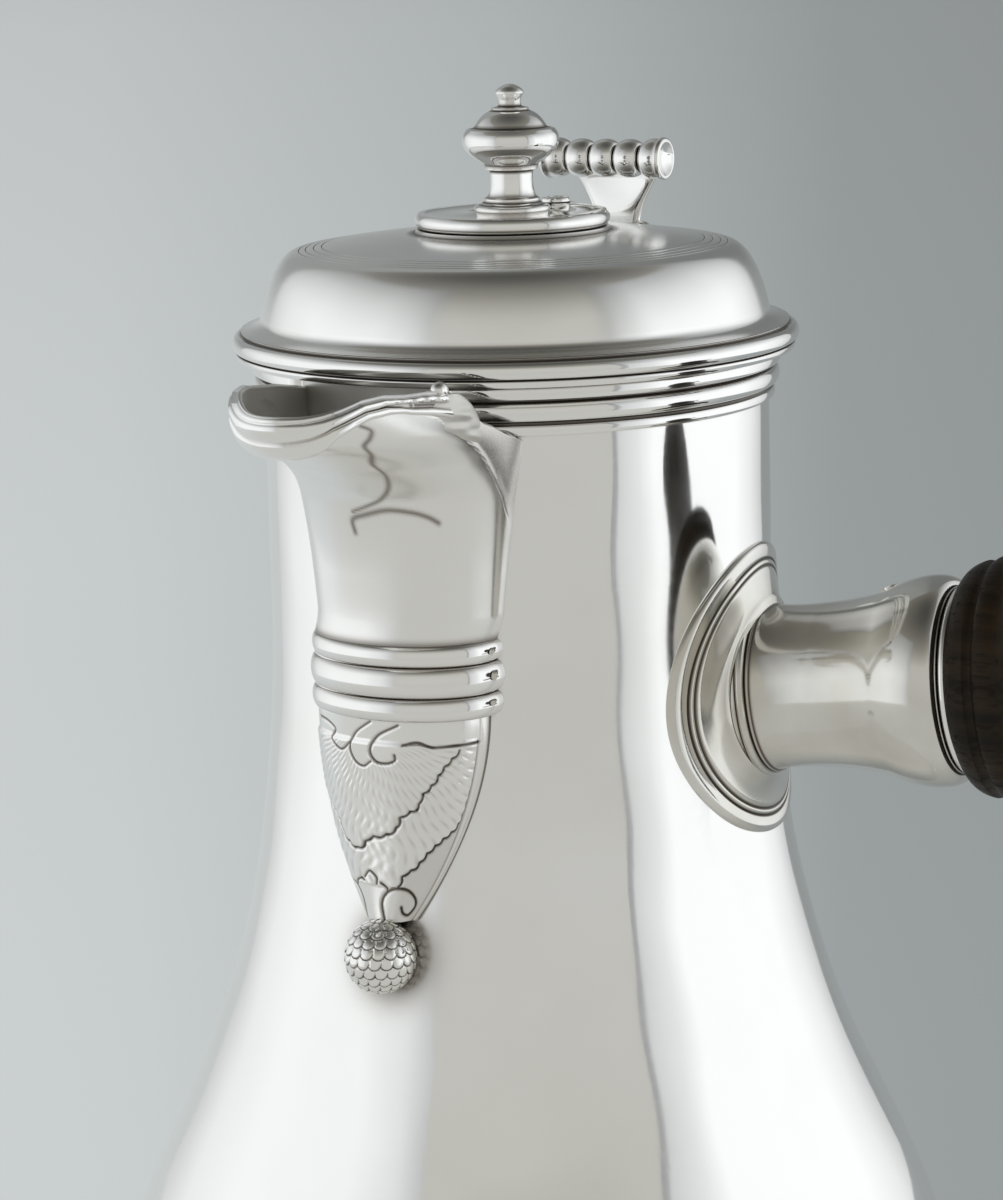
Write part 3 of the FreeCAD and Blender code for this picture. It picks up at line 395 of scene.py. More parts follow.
class Outline:
    """Half section of a turned piece, drawn with its metal on the left hand."""

    def __init__(self, radius: float, height: float, step: float = 0.45) -> None:
        """Starts at a radius and a height, with a step between a curve's points."""
        self.points = [(radius, height)]
        self.step = step

    def to(self, *points: tuple[float, float]) -> Outline:
        """Straight runs to each point."""
        self.points.extend(points)
        return self

    def curve(self, *poles: tuple[float, float]) -> Outline:
        """A Bezier curve from the last point to the last pole.

        Args:
            poles: The curve's further poles.

        Returns:
            The same outline.
        """
        poles = [self.points[-1], *poles]
        length = sum(math.dist(a, b) for a, b in zip(poles, poles[1:]))
        count = max(6, int(length / self.step) + 2)
        self.points.extend(map(tuple, bezier(poles, count)[1:]))
        return self

    def bead(self, bulge: float, end: tuple[float, float]) -> Outline:
        """A rounded bead to an end, standing out to the right hand by its bulge.

        Args:
            bulge: How far it stands out.
            end: Where it ends.

        Returns:
            The same outline.
        """
        start = np.array(self.points[-1])
        chord = np.array(end) - start
        out = np.array((chord[1], -chord[0])) / max(np.linalg.norm(chord), 1e-9)
        lift = out * bulge * 4 / 3
        return self.curve(tuple(start + lift), tuple(np.array(end) + lift), end)

    def softened(self, radius: float, closed: bool) -> np.ndarray:
        """Rounds the corners and adds the points that keep flat runs flat.

        Args:
            radius: How far each corner is cut back.
            closed: Whether the last point joins the first.

        Returns:
            The points, evenly enough spaced for smooth shading.
        """
        corners = np.array(self.points, float)
        keep = [0]
        for index in range(1, len(corners)):
            if math.dist(corners[index], corners[keep[-1]]) > SAME_PLACE:
                keep.append(index)
        corners = corners[keep]
        if closed and math.dist(corners[0], corners[-1]) < SAME_PLACE:
            corners = corners[:-1]
        count = len(corners)
        made = []
        for index, corner in enumerate(corners):
            if not closed and index in (0, count - 1):
                made.append(corner)
                continue
            before = corners[index - 1] - corner
            after = corners[(index + 1) % count] - corner
            back, ahead = np.linalg.norm(before), np.linalg.norm(after)
            if np.dot(before, after) / (back * ahead) < NEARLY_STRAIGHT:
                made.append(corner)
                continue
            cut = min(radius, back * 0.4, ahead * 0.4)
            made.extend(bezier((corner + before / back * cut, corner, corner + after / ahead * cut), 5))
        return self._supported(np.array(made), closed)

    @staticmethod
    def _supported(points: np.ndarray, closed: bool) -> np.ndarray:
        """Divides long runs, closely at their ends.

        Args:
            points: The outline.
            closed: Whether the last point joins the first.

        Returns:
            The outline with more points.
        """
        made = []
        ends = np.roll(points, -1, 0)
        for start, end in zip(points if closed else points[:-1], ends):
            made.append(start)
            length = math.dist(start, end)
            if length > LONG_RUN:
                inner = np.linspace(0.25, length - 0.25, max(2, int(length / 2.5)))
                made.extend(start + (end - start) * place / length for place in inner)
        if not closed:
            made.append(points[-1])
        return np.array(made)


def hollowness(points: np.ndarray, closed: bool, reach: float) -> np.ndarray:
    """How far each point of an outline lies in a hollow.

    Args:
        points: The outline.
        closed: Whether it closes on itself.
        reach: Distance over which a hollow spreads.

    Returns:
        A value from 0 to 1 per point.
    """
    before = points - np.roll(points, 1, 0)
    after = np.roll(points, -1, 0) - points
    cross = before[:, 0] * after[:, 1] - before[:, 1] * after[:, 0]
    turn = np.arctan2(cross, (before * after).sum(1))
    if not closed:
        turn[[0, -1]] = 0
    hollow = np.clip(-turn, 0, None)
    gaps = np.linalg.norm(points[:, None] - points[None], axis=2)
    spread = (bell(gaps, reach) * hollow[None]).sum(1)
    return np.clip((spread - FAINT_HOLLOW) / HOLLOW_RANGE, 0, 1)


def grid_faces(rows: int, columns: int, wrap_rows: bool = False, wrap_columns: bool = False) -> np.ndarray:
    """Quads over a grid of points.

    Args:
        rows: Points down the grid.
        columns: Points across it.
        wrap_rows: Whether the last row joins the first.
        wrap_columns: Whether the last column joins the first.

    Returns:
        Four point numbers per quad.
    """
    row, column = np.meshgrid(np.arange(rows - (not wrap_rows)), np.arange(columns - (not wrap_columns)),
                              indexing="ij")
    below, right = (row + 1) % rows, (column + 1) % columns
    this_row, next_row = row * columns, below * columns
    return stacked(this_row + column, this_row + right, next_row + right, next_row + column).reshape(-1, 4)


def eased(levels: Sequence[tuple], places: np.ndarray) -> np.ndarray:
    """Smooth values through levels, without overshoot.

    Args:
        levels: Rows of a place and its values, in rising order.
        places: Where to read the values.

    Returns:
        One row of values per place.
    """
    table = np.array(levels, float)
    stops, values = table[:, 0], table[:, 1:]
    rise = np.diff(values, axis=0) / np.diff(stops)[:, None]
    slope = np.zeros_like(values)
    both = rise[:-1] * rise[1:] > 0
    total = np.where(both, rise[:-1] + rise[1:], 1.0)
    slope[1:-1] = np.where(both, 2 * rise[:-1] * rise[1:] / total, 0.0)
    slope[0], slope[-1] = rise[0], rise[-1]
    places = np.clip(places, stops[0], stops[-1])
    index = np.clip(np.searchsorted(stops, places) - 1, 0, len(stops) - 2)
    width = (stops[index + 1] - stops[index])[:, None]
    share = ((places - stops[index])[:, None]) / width
    back = 1 - share
    return (values[index] * (1 + 2 * share) * back**2 + slope[index] * width * share * back**2
            + values[index + 1] * (1 + 2 * back) * share**2 - slope[index + 1] * width * back * share**2)


def ramped(value: np.ndarray, start: float, end: float) -> np.ndarray:
    """A soft step from 0 at the start to 1 at the end."""
    share = np.clip((value - start) / (end - start), 0, 1)
    return share * share * (3 - 2 * share)


def bell(distance: np.ndarray, width: float | np.ndarray) -> np.ndarray:
    """A soft peak, 1 at no distance and nearly 0 at twice the width."""
    return np.exp(-((distance / width) ** 2))


def circle(count: int) -> np.ndarray:
    """Angles evenly round a circle."""
    return np.linspace(0, 2 * math.pi, count, endpoint=False)


def stacked(*axes: np.ndarray | float) -> np.ndarray:
    """Points from their coordinates, each broadcast to the others' shape."""
    return np.stack(np.broadcast_arrays(*axes), -1)


def ball(centre: Sequence[float], radii: Sequence[float], rows: int = 24, columns: int = 40) -> np.ndarray:
    """Points of a rounded lump, from pole to pole.

    Args:
        centre: Its middle.
        radii: Its reach along each axis.
        rows: Rings of points.
        columns: Points per ring.

    Returns:
        The points, by row and column.
    """
    polar, around = np.linspace(0, math.pi, rows)[:, None], circle(columns)[None]
    unit = stacked(np.sin(polar) * np.cos(around), np.sin(polar) * np.sin(around), np.cos(polar))
    return np.array(centre) + unit * np.array(radii)


def outward(points: np.ndarray, centre: np.ndarray) -> np.ndarray:
    """Unit normals of a grid of points, away from a centre.

    Args:
        points: The grid.
        centre: A point inside, or one per grid point.

    Returns:
        One normal per point.
    """
    normal = np.cross(np.gradient(points, axis=0), np.gradient(points, axis=1))
    normal /= np.maximum(np.linalg.norm(normal, axis=2, keepdims=True), 1e-9)
    away = np.sign(((points - centre) * normal).sum(2).mean())
    return normal * away


def flowing(points: Sequence[tuple], count: int = 6) -> np.ndarray:
    """A smooth line through drawn points.

    Args:
        points: The drawn points, two numbers each.
        count: Points per stretch.

    Returns:
        The line's points.
    """
    drawn = np.array(points, float)
    longer = np.concatenate((2 * drawn[:1] - drawn[1:2], drawn, 2 * drawn[-1:] - drawn[-2:-1]))
    before, start, end, after = longer[:-3], longer[1:-2], longer[2:-1], longer[3:]
    share = np.linspace(0, 1, count, endpoint=False)[:, None, None]
    made = (start + (end - before) * share / 2 + (before - 2.5 * start + 2 * end - after / 2) * share**2
            + (1.5 * start - before / 2 - 1.5 * end + after / 2) * share**3)
    return np.concatenate((made.transpose(1, 0, 2).reshape(-1, 2), drawn[-1:]))


def line_distance(places: np.ndarray, line: Sequence[tuple]) -> np.ndarray:
    """Distance of flat points from a drawn line.

    Args:
        places: The points, two numbers each.
        line: The line's own points.

    Returns:
        The distance of each point from the nearest stretch.
    """
    nearest = np.full(places.shape[:-1], np.inf)
    for start, end in zip(np.array(line, float)[:-1], np.array(line, float)[1:]):
        along = end - start
        share = np.clip(((places - start) @ along) / max(along @ along, 1e-9), 0, 1)
        nearest = np.minimum(nearest, np.linalg.norm(places - start - share[..., None] * along, axis=-1))
    return nearest


@dataclass
class Maker:
    """Adds finished pieces to the scene.

    Attributes:
        silver: The finish of plain silver.
        chased: The finish of worked and engraved silver.
        dull: The finish of silver that the polish doesn't reach.
        satin: The softer finish of the lid and the beak.
        worn: The finish of the handle's mount, with a brown film.
        wood: The finish of the handle.
    """

    silver: bpy.types.Material
    chased: bpy.types.Material
    dull: bpy.types.Material
    satin: bpy.types.Material
    worn: bpy.types.Material
    wood: bpy.types.Material

    def piece(self, name: str, points: np.ndarray, faces: np.ndarray, rides: Rides,
              stands_for: Sequence[str] = (), finish: bpy.types.Material | None = None,
              tarnish_and_shade: np.ndarray | None = None) -> bpy.types.Object:
        """Makes one piece.

        Args:
            name: The piece's name.
            points: Its points in millimetres.
            faces: Its faces.
            rides: The body that carries it.
            stands_for: The frame's nodes that it stands for.
            finish: Its material, plain silver if none is given.
            tarnish_and_shade: Depth of tarnish and painted shade per point.

        Returns:
            The new object.
        """
        mesh = bpy.data.meshes.new(name)
        mesh.from_pydata((np.asarray(points).reshape(-1, 3) * MM).tolist(), [], np.asarray(faces).tolist())
        layer = mesh.attributes.new(TARNISH_AND_SHADE, "FLOAT", "POINT")
        if tarnish_and_shade is not None:
            layer.data.foreach_set("value", np.ascontiguousarray(tarnish_and_shade, np.float32).ravel())
        made = bpy.data.objects.new(name, mesh)
        bpy.context.scene.collection.objects.link(made)
        self._weld(mesh)
        finish = finish or self.silver
        mesh.materials.append(finish)
        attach(made, rides.value)
        if stands_for:
            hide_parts(*stands_for)
        (Slot.WOOD if finish == self.wood else Slot.SILVER).value
        LOG.info("%s: %d faces on %s", name, len(mesh.polygons), rides.value)
        return made

    @staticmethod
    def _weld(mesh: bpy.types.Mesh) -> None:
        """Joins points that lie on each other and smooths the faces.

        Args:
            mesh: The piece's mesh.
        """
        work = bmesh.new()
        work.from_mesh(mesh)
        bmesh.ops.remove_doubles(work, verts=work.verts, dist=2e-6)
        bmesh.ops.dissolve_degenerate(work, edges=work.edges, dist=1e-7)
        bmesh.ops.recalc_face_normals(work, faces=work.faces)
        work.to_mesh(mesh)
        work.free()
        mesh.shade_smooth()

    def grid(self, name: str, points: np.ndarray, rides: Rides, stands_for: Sequence[str] = (),
             around: bool = False, finish: bpy.types.Material | None = None,
             tarnish_and_shade: np.ndarray | None = None) -> None:
        """Makes a piece from a grid of points.

        Args:
            name: The piece's name.
            points: Its points by row and column.
            rides: The body that carries it.
            stands_for: The frame's nodes that it stands for.
            around: Whether each row closes on itself.
            finish: Its material.
            tarnish_and_shade: Depth of tarnish and painted shade per point.
        """
        faces = grid_faces(points.shape[0], points.shape[1], False, around)
        self.piece(name, points, faces, rides, stands_for, finish, tarnish_and_shade)

    def lumps(self, name: str, grids: Sequence[np.ndarray], rides: Rides) -> None:
        """Makes one piece of several closed lumps.

        Args:
            name: The piece's name.
            grids: The lumps' points, each by row and column.
            rides: The body that carries it.
        """
        faces, first = [], 0
        for grid in grids:
            faces.append(grid_faces(grid.shape[0], grid.shape[1], False, True) + first)
            first += grid.shape[0] * grid.shape[1]
        points = np.concatenate([grid.reshape(-1, 3) for grid in grids])
        self.piece(name, points, np.concatenate(faces), rides)

    def turned(self, name: str, outline: Outline, rides: Rides, stands_for: Sequence[str] = (),
               closed: bool = False, soft: float = 0.18, segments: int = 192, place: Matrix | None = None,
               finish: bpy.types.Material | None = None,
               wave: Callable[[np.ndarray, np.ndarray], np.ndarray] | None = None,
               painted_shade: Callable[[np.ndarray], np.ndarray] | None = None,
               reach: float = 0.24) -> bpy.types.Object:
        """Turns an outline into a piece.

        Args:
            name: The piece's name.
            outline: Its half section.
            rides: The body that carries it.
            stands_for: The frame's nodes that it stands for.
            closed: Whether the outline is a ring's closed section.
            soft: Radius of its corners.
            segments: Facets round it.
            place: Where its axis stands, if that isn't the pot's own.
            finish: Its material.
            wave: Change of the radius by angle and by each row of the section.
            painted_shade: Depth of further painted shade by place.
            reach: How far tarnish and painted shade spread from a hollow.

        Returns:
            The new object.
        """
        section = outline.softened(soft, closed)
        angle = circle(segments)
        radius = np.repeat(section[:, :1], segments, 1)
        if wave is not None:
            radius = np.maximum(radius + wave(angle[None], section) * (section[:, :1] > 1e-6), 0)
        points = stacked(radius * np.cos(angle), radius * np.sin(angle), section[:, 1:])
        if place is not None:
            turn = np.array(place)
            points = points @ turn[:3, :3].T + turn[:3, 3]
        # The section's hollows get tarnish and painted shade.
        dark = np.repeat(hollowness(section, closed, reach)[:, None], segments, 1)
        if painted_shade is not None:
            dark = np.maximum(dark, painted_shade(points))
        faces = grid_faces(len(section), segments, closed, True)
        return self.piece(name, points, faces, rides, stands_for, finish, dark)


# The pot


@dataclass
class PotBody:
    """The raised body with the moulding round its rim.

    Attributes:
        unevenness: Depth of the hammer's marks.
        spout_angle: Where the spout stands, in degrees round the pot.
        mouth_angles: Where the rim passes inside the spout, in degrees from the spout's middle.
        berry: Height, proudness and radius of the berry under the spout.
        painted_shade_depth: Painted shade in the corner round the berry.
        painted_shade_reach: How far that painted shade spreads.
    """

    foot: float = 14.0
    base_radius: float = 38.0
    base_sweep: float = 18.0
    belly_radius: float = 66.7
    belly_height: float = 44.0
    belly_drop: float = 18.0
    belly_rise: float = 54.0
    neck_radius: float = 37.5
    neck_start: float = 179.8
    neck_drop: float = 89.0
    rim: float = 209.6
    rim_band: float = 6.8
    wall: float = 0.8
    unevenness: float = 0.03
    spout_angle: float = 270.0
    mouth_angles: tuple = (-27.0, 14.0)
    berry: tuple = (129.0, 3.3, 5.0)
    painted_shade_depth: float = 0.85
    painted_shade_reach: float = 3.2
    strainer_top: float = 187.6
    strainer_pitch: float = 6.0
    strainer_hole: float = 1.8
    strainer_rows: int = 3

    def side(self, grow: float, count: int) -> np.ndarray:
        """The side from the belly up to the straight neck.

        Args:
            grow: Offset outwards.
            count: How many points.

        Returns:
            Radius and height per point.
        """
        belly = self.belly_radius + grow
        neck = self.neck_radius + grow
        return bezier(((belly, self.belly_height), (belly, self.belly_height + self.belly_rise),
                       (neck, self.neck_start - self.neck_drop), (neck, self.neck_start)), count)

    def base(self, grow: float, count: int) -> np.ndarray:
        """The turn from the flat base up to the belly.

        Args:
            grow: Offset outwards.
            count: How many points.

        Returns:
            Radius and height per point.
        """
        low, belly = self.foot - grow, self.belly_radius + grow
        flat = self.base_radius + grow
        return bezier(((flat, low), (flat + self.base_sweep, low),
                       (belly, self.belly_height - self.belly_drop), (belly, self.belly_height)), count)

    def radius(self, height: np.ndarray) -> np.ndarray:
        """Outer radius at heights from the base to the rim."""
        whole = np.concatenate((self.base(0.0, 200)[:-1], self.side(0.0, 400)))
        return np.interp(height, whole[:, 1], whole[:, 0])

    def wave(self, angle: np.ndarray, section: np.ndarray) -> np.ndarray:
        """Slight unevenness left by the hammer.

        Args:
            angle: Angles round the pot.
            section: Radius and height of each row.

        Returns:
            Change of the radius.
        """
        height = section[:, 1:]
        drift = np.sin(5 * angle + height / 7 + 0.7) + np.sin(9 * angle - height / 5.2 + 2.1)
        ripple = 0.6 * np.sin(14 * angle + height / 3.6) + 0.5 * np.sin(height / 6 + 1.2)
        return self.unevenness * (drift + ripple)

    def mouth(self, angle: np.ndarray, section: np.ndarray) -> np.ndarray:
        """Lays the rim moulding flat where it passes inside the spout.

        Args:
            angle: Angles round the pot.
            section: Radius and height of each row.

        Returns:
            Change of the radius.
        """
        away = np.degrees(angle) - self.spout_angle
        far, near = self.mouth_angles
        flat = np.minimum(section[:, :1], self.neck_radius + 0.15) - section[:, :1]
        return flat * ramped(away, far, far + 1.5) * (1 - ramped(away, near - 1.5, near))

    def painted_shade(self, points: np.ndarray) -> np.ndarray:
        """Painted shade in the corner round the spout's berry.

        Args:
            points: Points of the body.

        Returns:
            Depth of painted shade per point.
        """
        level, proud, size = self.berry
        centre = np.array((0, -self.radius(np.array(level)) - proud, level))
        gap = np.linalg.norm(points - centre, axis=2) - size
        return self.painted_shade_depth * bell(np.clip(gap, 0, None), self.painted_shade_reach)

    def half_section(self) -> Outline:
        """Outline of the shell, outside first.

        Returns:
            The outline from the axis below to the axis inside.
        """
        made = Outline(0.0, self.foot)
        made.to(*map(tuple, self.base(0.0, 50)), *map(tuple, self.side(0.0, 130)[1:]))
        made.to((self.neck_radius, self.rim), (self.neck_radius - self.wall, self.rim))
        made.to(*map(tuple, self.side(-self.wall, 130)[::-1]), *map(tuple, self.base(-self.wall, 50)[::-1]))
        return made.to((0.0, self.foot + self.wall))

    def strainer(self, shell: bpy.types.Object) -> None:
        """Drills the staggered holes through the neck behind the spout.

        Args:
            shell: The body.
        """
        work = bmesh.new()
        size = self.strainer_hole * MM
        for row in range(self.strainer_rows):
            count = self.strainer_rows - row % 2
            for column in range(count):
                across = (column - (count - 1) / 2) * self.strainer_pitch
                middle = Vector((across, -self.neck_radius, self.strainer_top - row * self.strainer_pitch))
                place = Matrix.Translation(middle * MM) @ Matrix.Rotation(math.radians(90), 4, "X")
                bmesh.ops.create_cone(work, cap_ends=True, segments=32, radius1=size, radius2=size,
                                      depth=4 * size, matrix=place)
        drill = bpy.data.objects.new("drill", bpy.data.meshes.new("drill"))
        work.to_mesh(drill.data)
        work.free()
        bpy.context.scene.collection.objects.link(drill)
        cut = shell.modifiers.new("strainer", "BOOLEAN")
        cut.operation = "DIFFERENCE"
        cut.object = drill
        drilled = bpy.data.meshes.new_from_object(shell.evaluated_get(bpy.context.evaluated_depsgraph_get()))
        shell.modifiers.clear()
        shell.data = drilled
        drilled.set_sharp_from_angle(angle=SHARP_ANGLE)
        bpy.data.objects.remove(drill)

    def build(self, maker: Maker) -> None:
        """Makes the body and its rim moulding.

        Args:
            maker: Adds the pieces.
        """
        shell = maker.turned("pot_body", self.half_section(), Rides.POT, ("body",), soft=0.3, segments=320,
                             wave=self.wave, painted_shade=self.painted_shade)
        self.strainer(shell)
        neck, low = self.neck_radius, self.rim - self.rim_band
        rim = Outline(neck - 0.2, low)
        rim.to((neck + 0.5, low)).bead(0.35, (neck + 0.5, low + 1.5))
        rim.to((neck + 0.35, low + 1.8), (neck + 0.7, low + 2.0)).bead(0.85, (neck + 0.7, low + 4.6))
        rim.to((neck + 0.45, low + 4.8), (neck + 0.45, low + 5.0), (neck + 1.5, low + 5.15))
        rim.bead(0.22, (neck + 1.55, self.rim)).to((neck - 0.2, self.rim))
        maker.turned("rim_band", rim, Rides.POT, ("rim_moulding",), closed=True, soft=0.12, segments=360,
                     wave=self.mouth)


@dataclass
class Lid:
    """The domed lid, its flange and the bezel that drops into the neck."""

    bottom: float = 209.9
    flange_top: float = 214.0
    flange_radius: float = 42.4
    foot_radius: float = 37.6
    edge: float = 3.0
    top_radius: float = 31.5
    shoulder: float = 225.4
    crown: float = 228.0
    wall: float = 1.0
    hole: float = 7.5
    bezel_radius: float = 36.1
    bezel_depth: float = 6.0
    seat: float = 14.2
    groove: float = 0.13
    groove_places: tuple = (31.6, 30.6, 29.4, 28.2)

    def crown_height(self, radius: float) -> float:
        """Height of the crown at a radius."""
        return self.crown - (self.crown - self.shoulder) * (radius / self.top_radius) ** 2

    def dome(self) -> Outline:
        """Outline of the dome with its engraved rings.

        Returns:
            The closed section, outside first.
        """
        slope = 2 * (self.crown - self.shoulder) / self.top_radius
        made = Outline(self.foot_radius - self.wall, self.flange_top)
        made.to((self.foot_radius + self.edge, self.flange_top))
        made.curve((self.foot_radius, self.flange_top + 0.4), (self.foot_radius, self.flange_top + 1.9))
        turn = (self.top_radius + 0.6, self.shoulder - slope * 0.6)
        made.curve((self.foot_radius - 0.7, self.flange_top + 5.1),
                   (turn[0] + 3.1, turn[1] - slope * 3.1), turn)
        half = self.groove * 0.8
        for place in self.groove_places:
            made.to((place + half, self.crown_height(place + half)),
                    (place, self.crown_height(place) - self.groove),
                    (place - half, self.crown_height(place - half)))
        for radius in np.linspace(self.groove_places[-1] - 1.0, self.seat + 0.3, 10):
            made.to((radius, self.crown_height(radius)))
        made.to((self.seat, self.crown), (self.hole, self.crown))
        for radius in np.linspace(self.hole, self.top_radius - self.wall, 16):
            made.to((radius, self.crown_height(radius) - self.wall))
        inner = self.foot_radius - self.wall
        made.curve((inner - 1.2, self.shoulder - 1.6), (inner - 0.4, self.flange_top + 5.1),
                   (inner, self.flange_top + 1.9))
        return made

    def flange(self) -> Outline:
        """Outline of the stepped torus round the lid.

        Returns:
            The closed section.
        """
        widest = self.flange_radius
        made = Outline(self.bezel_radius, self.bottom)
        made.to((widest - 1.3, self.bottom)).bead(0.16, (widest - 1.0, self.bottom + 0.95))
        made.to((widest - 1.35, self.bottom + 1.1)).bead(1.05, (widest - 1.6, self.flange_top - 0.55))
        made.to((widest - 1.95, self.flange_top - 0.45)).bead(0.12, (widest - 2.1, self.flange_top))
        made.to((self.bezel_radius, self.flange_top))
        return made

    def build(self, maker: Maker) -> None:
        """Makes the lid's turned pieces.

        Args:
            maker: Adds the pieces.
        """
        maker.turned("lid_cover", self.dome(), Rides.LID, ("lid_dome",), closed=True, soft=0.05,
                     segments=320, finish=maker.satin, reach=0.08)
        maker.turned("lid_moulding", self.flange(), Rides.LID, ("lid_flange",), closed=True, soft=0.1,
                     segments=320)
        inner = self.bezel_radius - self.wall
        bezel = Outline(inner, self.bottom - self.bezel_depth)
        bezel.to((self.bezel_radius, self.bottom - self.bezel_depth), (self.bezel_radius, self.flange_top),
                 (inner, self.flange_top))
        maker.turned("lid_ring", bezel, Rides.LID, ("lid_bezel",), closed=True, segments=256)


@dataclass
class Finial:
    """The turned finial, and the rivet that its plate swivels on.

    Attributes:
        bottom: Height of the plate's underside.
        rim_top: Height of the plate's edge.
        top: Height of the plate under the finial.
        foot: Radius of the finial's foot.
        pivot: Distance of the rivet from the finial's axis.
    """

    bottom: float = 228.2
    rim_top: float = 230.3
    top: float = 230.5
    foot: float = 5.5
    pivot: float = 14.0

    def build(self, maker: Maker) -> None:
        """Makes the finial and the rivet; the plate keeps its node's shape.

        Args:
            maker: Adds the pieces.
        """
        low = self.top
        made = Outline(0.0, low - 0.1)
        made.to((self.foot, low - 0.1)).bead(0.3, (self.foot - 0.35, low + 0.75)).to((4.75, low + 0.8))
        made.curve((4.5, low + 1.15), (4.15, low + 1.2)).to((4.15, low + 1.75), (3.85, low + 1.85))
        made.curve((3.15, low + 2.2), (3.1, low + 4.4), (3.2, low + 5.7))
        made.curve((3.35, low + 5.95), (3.85, low + 5.95)).to((3.95, low + 6.6), (4.35, low + 6.95))
        made.curve((5.9, low + 7.9), (7.1, low + 8.8), (7.15, low + 10.1))
        made.curve((7.15, low + 11.1), (6.7, low + 11.55))
        made.to((6.5, low + 11.85), (5.4, low + 12.05))
        made.curve((4.5, low + 13.9), (3.3, low + 14.4), (2.75, low + 14.5)).to((2.75, low + 14.9))
        made.to((1.75, low + 15.1)).curve((1.45, low + 15.9), (1.7, low + 16.4), (2.1, low + 17.0))
        made.curve((2.1, low + 17.6), (1.0, low + 18.3), (0.0, low + 18.35))
        maker.turned("finial_knob", made, Rides.FINIAL, ("finial",), soft=0.12, segments=128)
        head = Outline(0.0, self.bottom)
        head.to((1.05, self.bottom), (1.05, self.rim_top + 0.1), (2.2, self.rim_top + 0.1))
        head.bead(0.12, (2.0, self.rim_top + 0.75))
        head.curve((1.2, self.rim_top + 0.95), (0.0, self.rim_top + 0.95))
        maker.turned("rivet_head", head, Rides.LID, ("pivot_rivet",), soft=0.1, segments=64,
                     place=Matrix.Translation((0, self.pivot, 0)))


